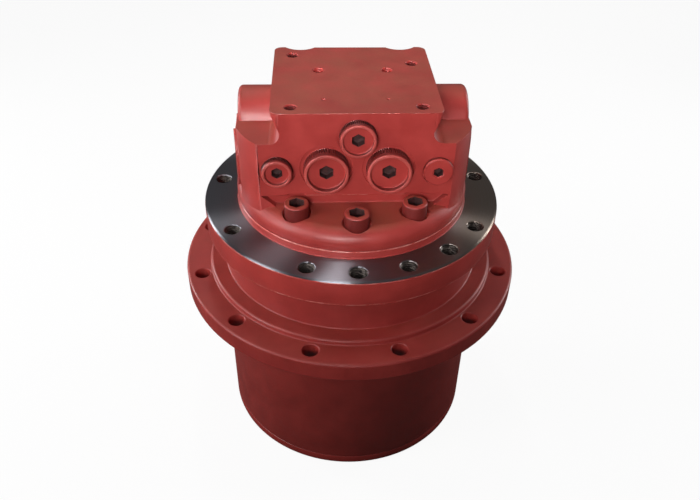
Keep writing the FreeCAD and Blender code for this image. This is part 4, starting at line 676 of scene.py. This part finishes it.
# Block screws: six socket head cap screws that clamp the foot of the block to the motor case, three
# in front of it and three behind. Forged steel, painted over after they were tightened.
SCREW_ANGLES = [0.0, 34.4, -34.4, 180.0, 145.6, -145.6]
SCREW_CIRCLE = 0.075
SCREW_SEAT = 0.0175
SCREW_HEAD = 0.0120
bm = bmesh.new()
for angle in SCREW_ANGLES:
    rings = [
        (0.0052, -0.028, ""),
        (0.0059, -0.0272, ""),
        (0.0059, 0.0, ""),
        (0.0086, 0.0, ""),
        (0.0090, 0.0005, ""),
    ]
    rings += rounding(0.0090, SCREW_HEAD, 0.0014) + socket_rings(0.0050, SCREW_HEAD, 0.0060)
    add_turned(bm, rings, flange_point(SCREW_CIRCLE, angle, SCREW_SEAT), (0, 0, 1))
screws = mesh_from(bm, "block_screws_look", PLUG_FINISHES, 35.0)
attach(screws, "frame_side")
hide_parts("block_screws")


# Side plugs: the turned steel plugs that close the spool's bore, in the lower bosses of the block,
# and the bodies of the relief valves in the upper bosses. Painted with the block.
CAP_CUP = -0.0009
CAP_SETBACK = 0.002
for name, node, height, reach, length in (
    ("spool_caps", "spool_end_plugs", 0.037, 0.087, 0.0235),
    ("relief_caps", "relief_valves", 0.066, 0.0835, 0.035),
):
    bm = bmesh.new()
    for side in (-1, 1):
        rings = [(0.0122, -length, ""), (0.01295, 0.0008 - length, "")]
        rings += rounding(0.01295, 0.0, 0.0010)
        rings += [(0.0095, 0.0, ""), (0.0092, -0.0003, ""), (0.0091, CAP_CUP, ""), (0.0084, CAP_CUP, "")]
        rings += socket_rings(0.0050, CAP_CUP, 0.0050)
        add_turned(bm, rings, (side * reach, CAP_SETBACK, height), (side, 0, 0))
    caps = mesh_from(bm, name, PLUG_FINISHES, 35.0)
    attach(caps, "frame_side")
    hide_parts(node)


# Hub: one steel forging, turned and drilled, with the sprocket flange and the ring gear barrel.
# The end cover closes its foot, held by eight screws, with three oil plugs in it.
# The hub side is in the block's red at 0.88 of its brightness: painted shade of the lower parts, with
# turning marks and a little dust.
hub_red_with_painted_shade = enamel("hub_red_with_painted_shade", shaded(RED, 0.88), lathe=0.22, dusty=0.12)
for name, node, width, slot in (
    ("hub_look", "hub", EDGE_BREAK, "hub_paint"),
    ("end_cover_look", "end_cover", 0.0006, "hub_paint"),
    ("cover_screws_look", "cover_screws", 0.0003, "screw_paint"),
    ("cover_plugs_look", "cover_plugs", 0.0003, "plug_paint"),
):
    piece = mesh_from(solid_copy(node, width, split=True), name, [hub_red_with_painted_shade])
    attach(piece, "hub_side")
    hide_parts(node)


# Inner pieces: gears, bearings, pistons, brake and seals. They keep the shapes of their solids and
# get the finish of what they are made of: ground or blackened steel, iron, bronze, nitrile rubber
# and friction paper.
def metal(name, colour, rough, grain, metallic=1.0, streak=0.0):
    """Bare metal with a fine grain and, for ground steel, rings around the spin axis."""
    finish = Finish(name)
    place = finish.place()
    x, y, z = finish.split(place)
    cloud = finish.noise(grain, 4.0, 0.6, place)
    dark = shaded(colour, 0.72) + (1,)
    height = cloud + finish.stripes(finish.root(x * x + y * y) + z, 2600.0) * streak
    return finish.surface({
        "Base Color": finish.blend(finish.ramp(cloud, 0.35, 0.65), dark, colour + (1,)),
        "Metallic": metallic,
        "Roughness": finish.ramp(cloud, 0.3, 0.7, rough * 0.8, rough * 1.25),
        "Normal": finish.bump(height, 0.2, 0.0002),
    })


INNER = {
    "hard_steel": metal("ground_steel", (0.47, 0.47, 0.48), 0.24, 90.0, streak=0.6),
    "black_steel": metal("black_steel", (0.07, 0.07, 0.075), 0.42, 200.0, 0.8),
    "seal_iron": metal("lapped_iron", (0.27, 0.27, 0.28), 0.20, 60.0, streak=0.3),
    "dark_iron": metal("machined_iron", (0.17, 0.165, 0.16), 0.44, 150.0, streak=0.5),
    "bronze": metal("leaded_bronze", (0.46, 0.29, 0.11), 0.32, 120.0, streak=0.3),
    "nitrile": metal("nitrile_rubber", (0.018, 0.018, 0.02), 0.62, 400.0, 0.0),
    "friction_lining": metal("paper_lining", (0.15, 0.10, 0.065), 0.85, 700.0, 0.0),
}

# The turning seal ring stands off its fellow by the oil film between their lapped faces.
OIL_FILM = 0.00004
ring_bm = solid_copy("rotating_seal_ring", 0.0002, split=True)
bmesh.ops.translate(ring_bm, vec=(0, 0, -OIL_FILM), verts=ring_bm.verts)
ring = mesh_from(ring_bm, "rotating_seal_ring_look", [INNER["seal_iron"]])
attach(ring, "hub_side")
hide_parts("rotating_seal_ring")

for part in frame["record"]["subparts"]:
    node = frame["nodes"][part["node"]]
    if part["material_slot"] in INNER:
        node.data.materials.clear()
        node.data.materials.append(INNER[part["material_slot"]])
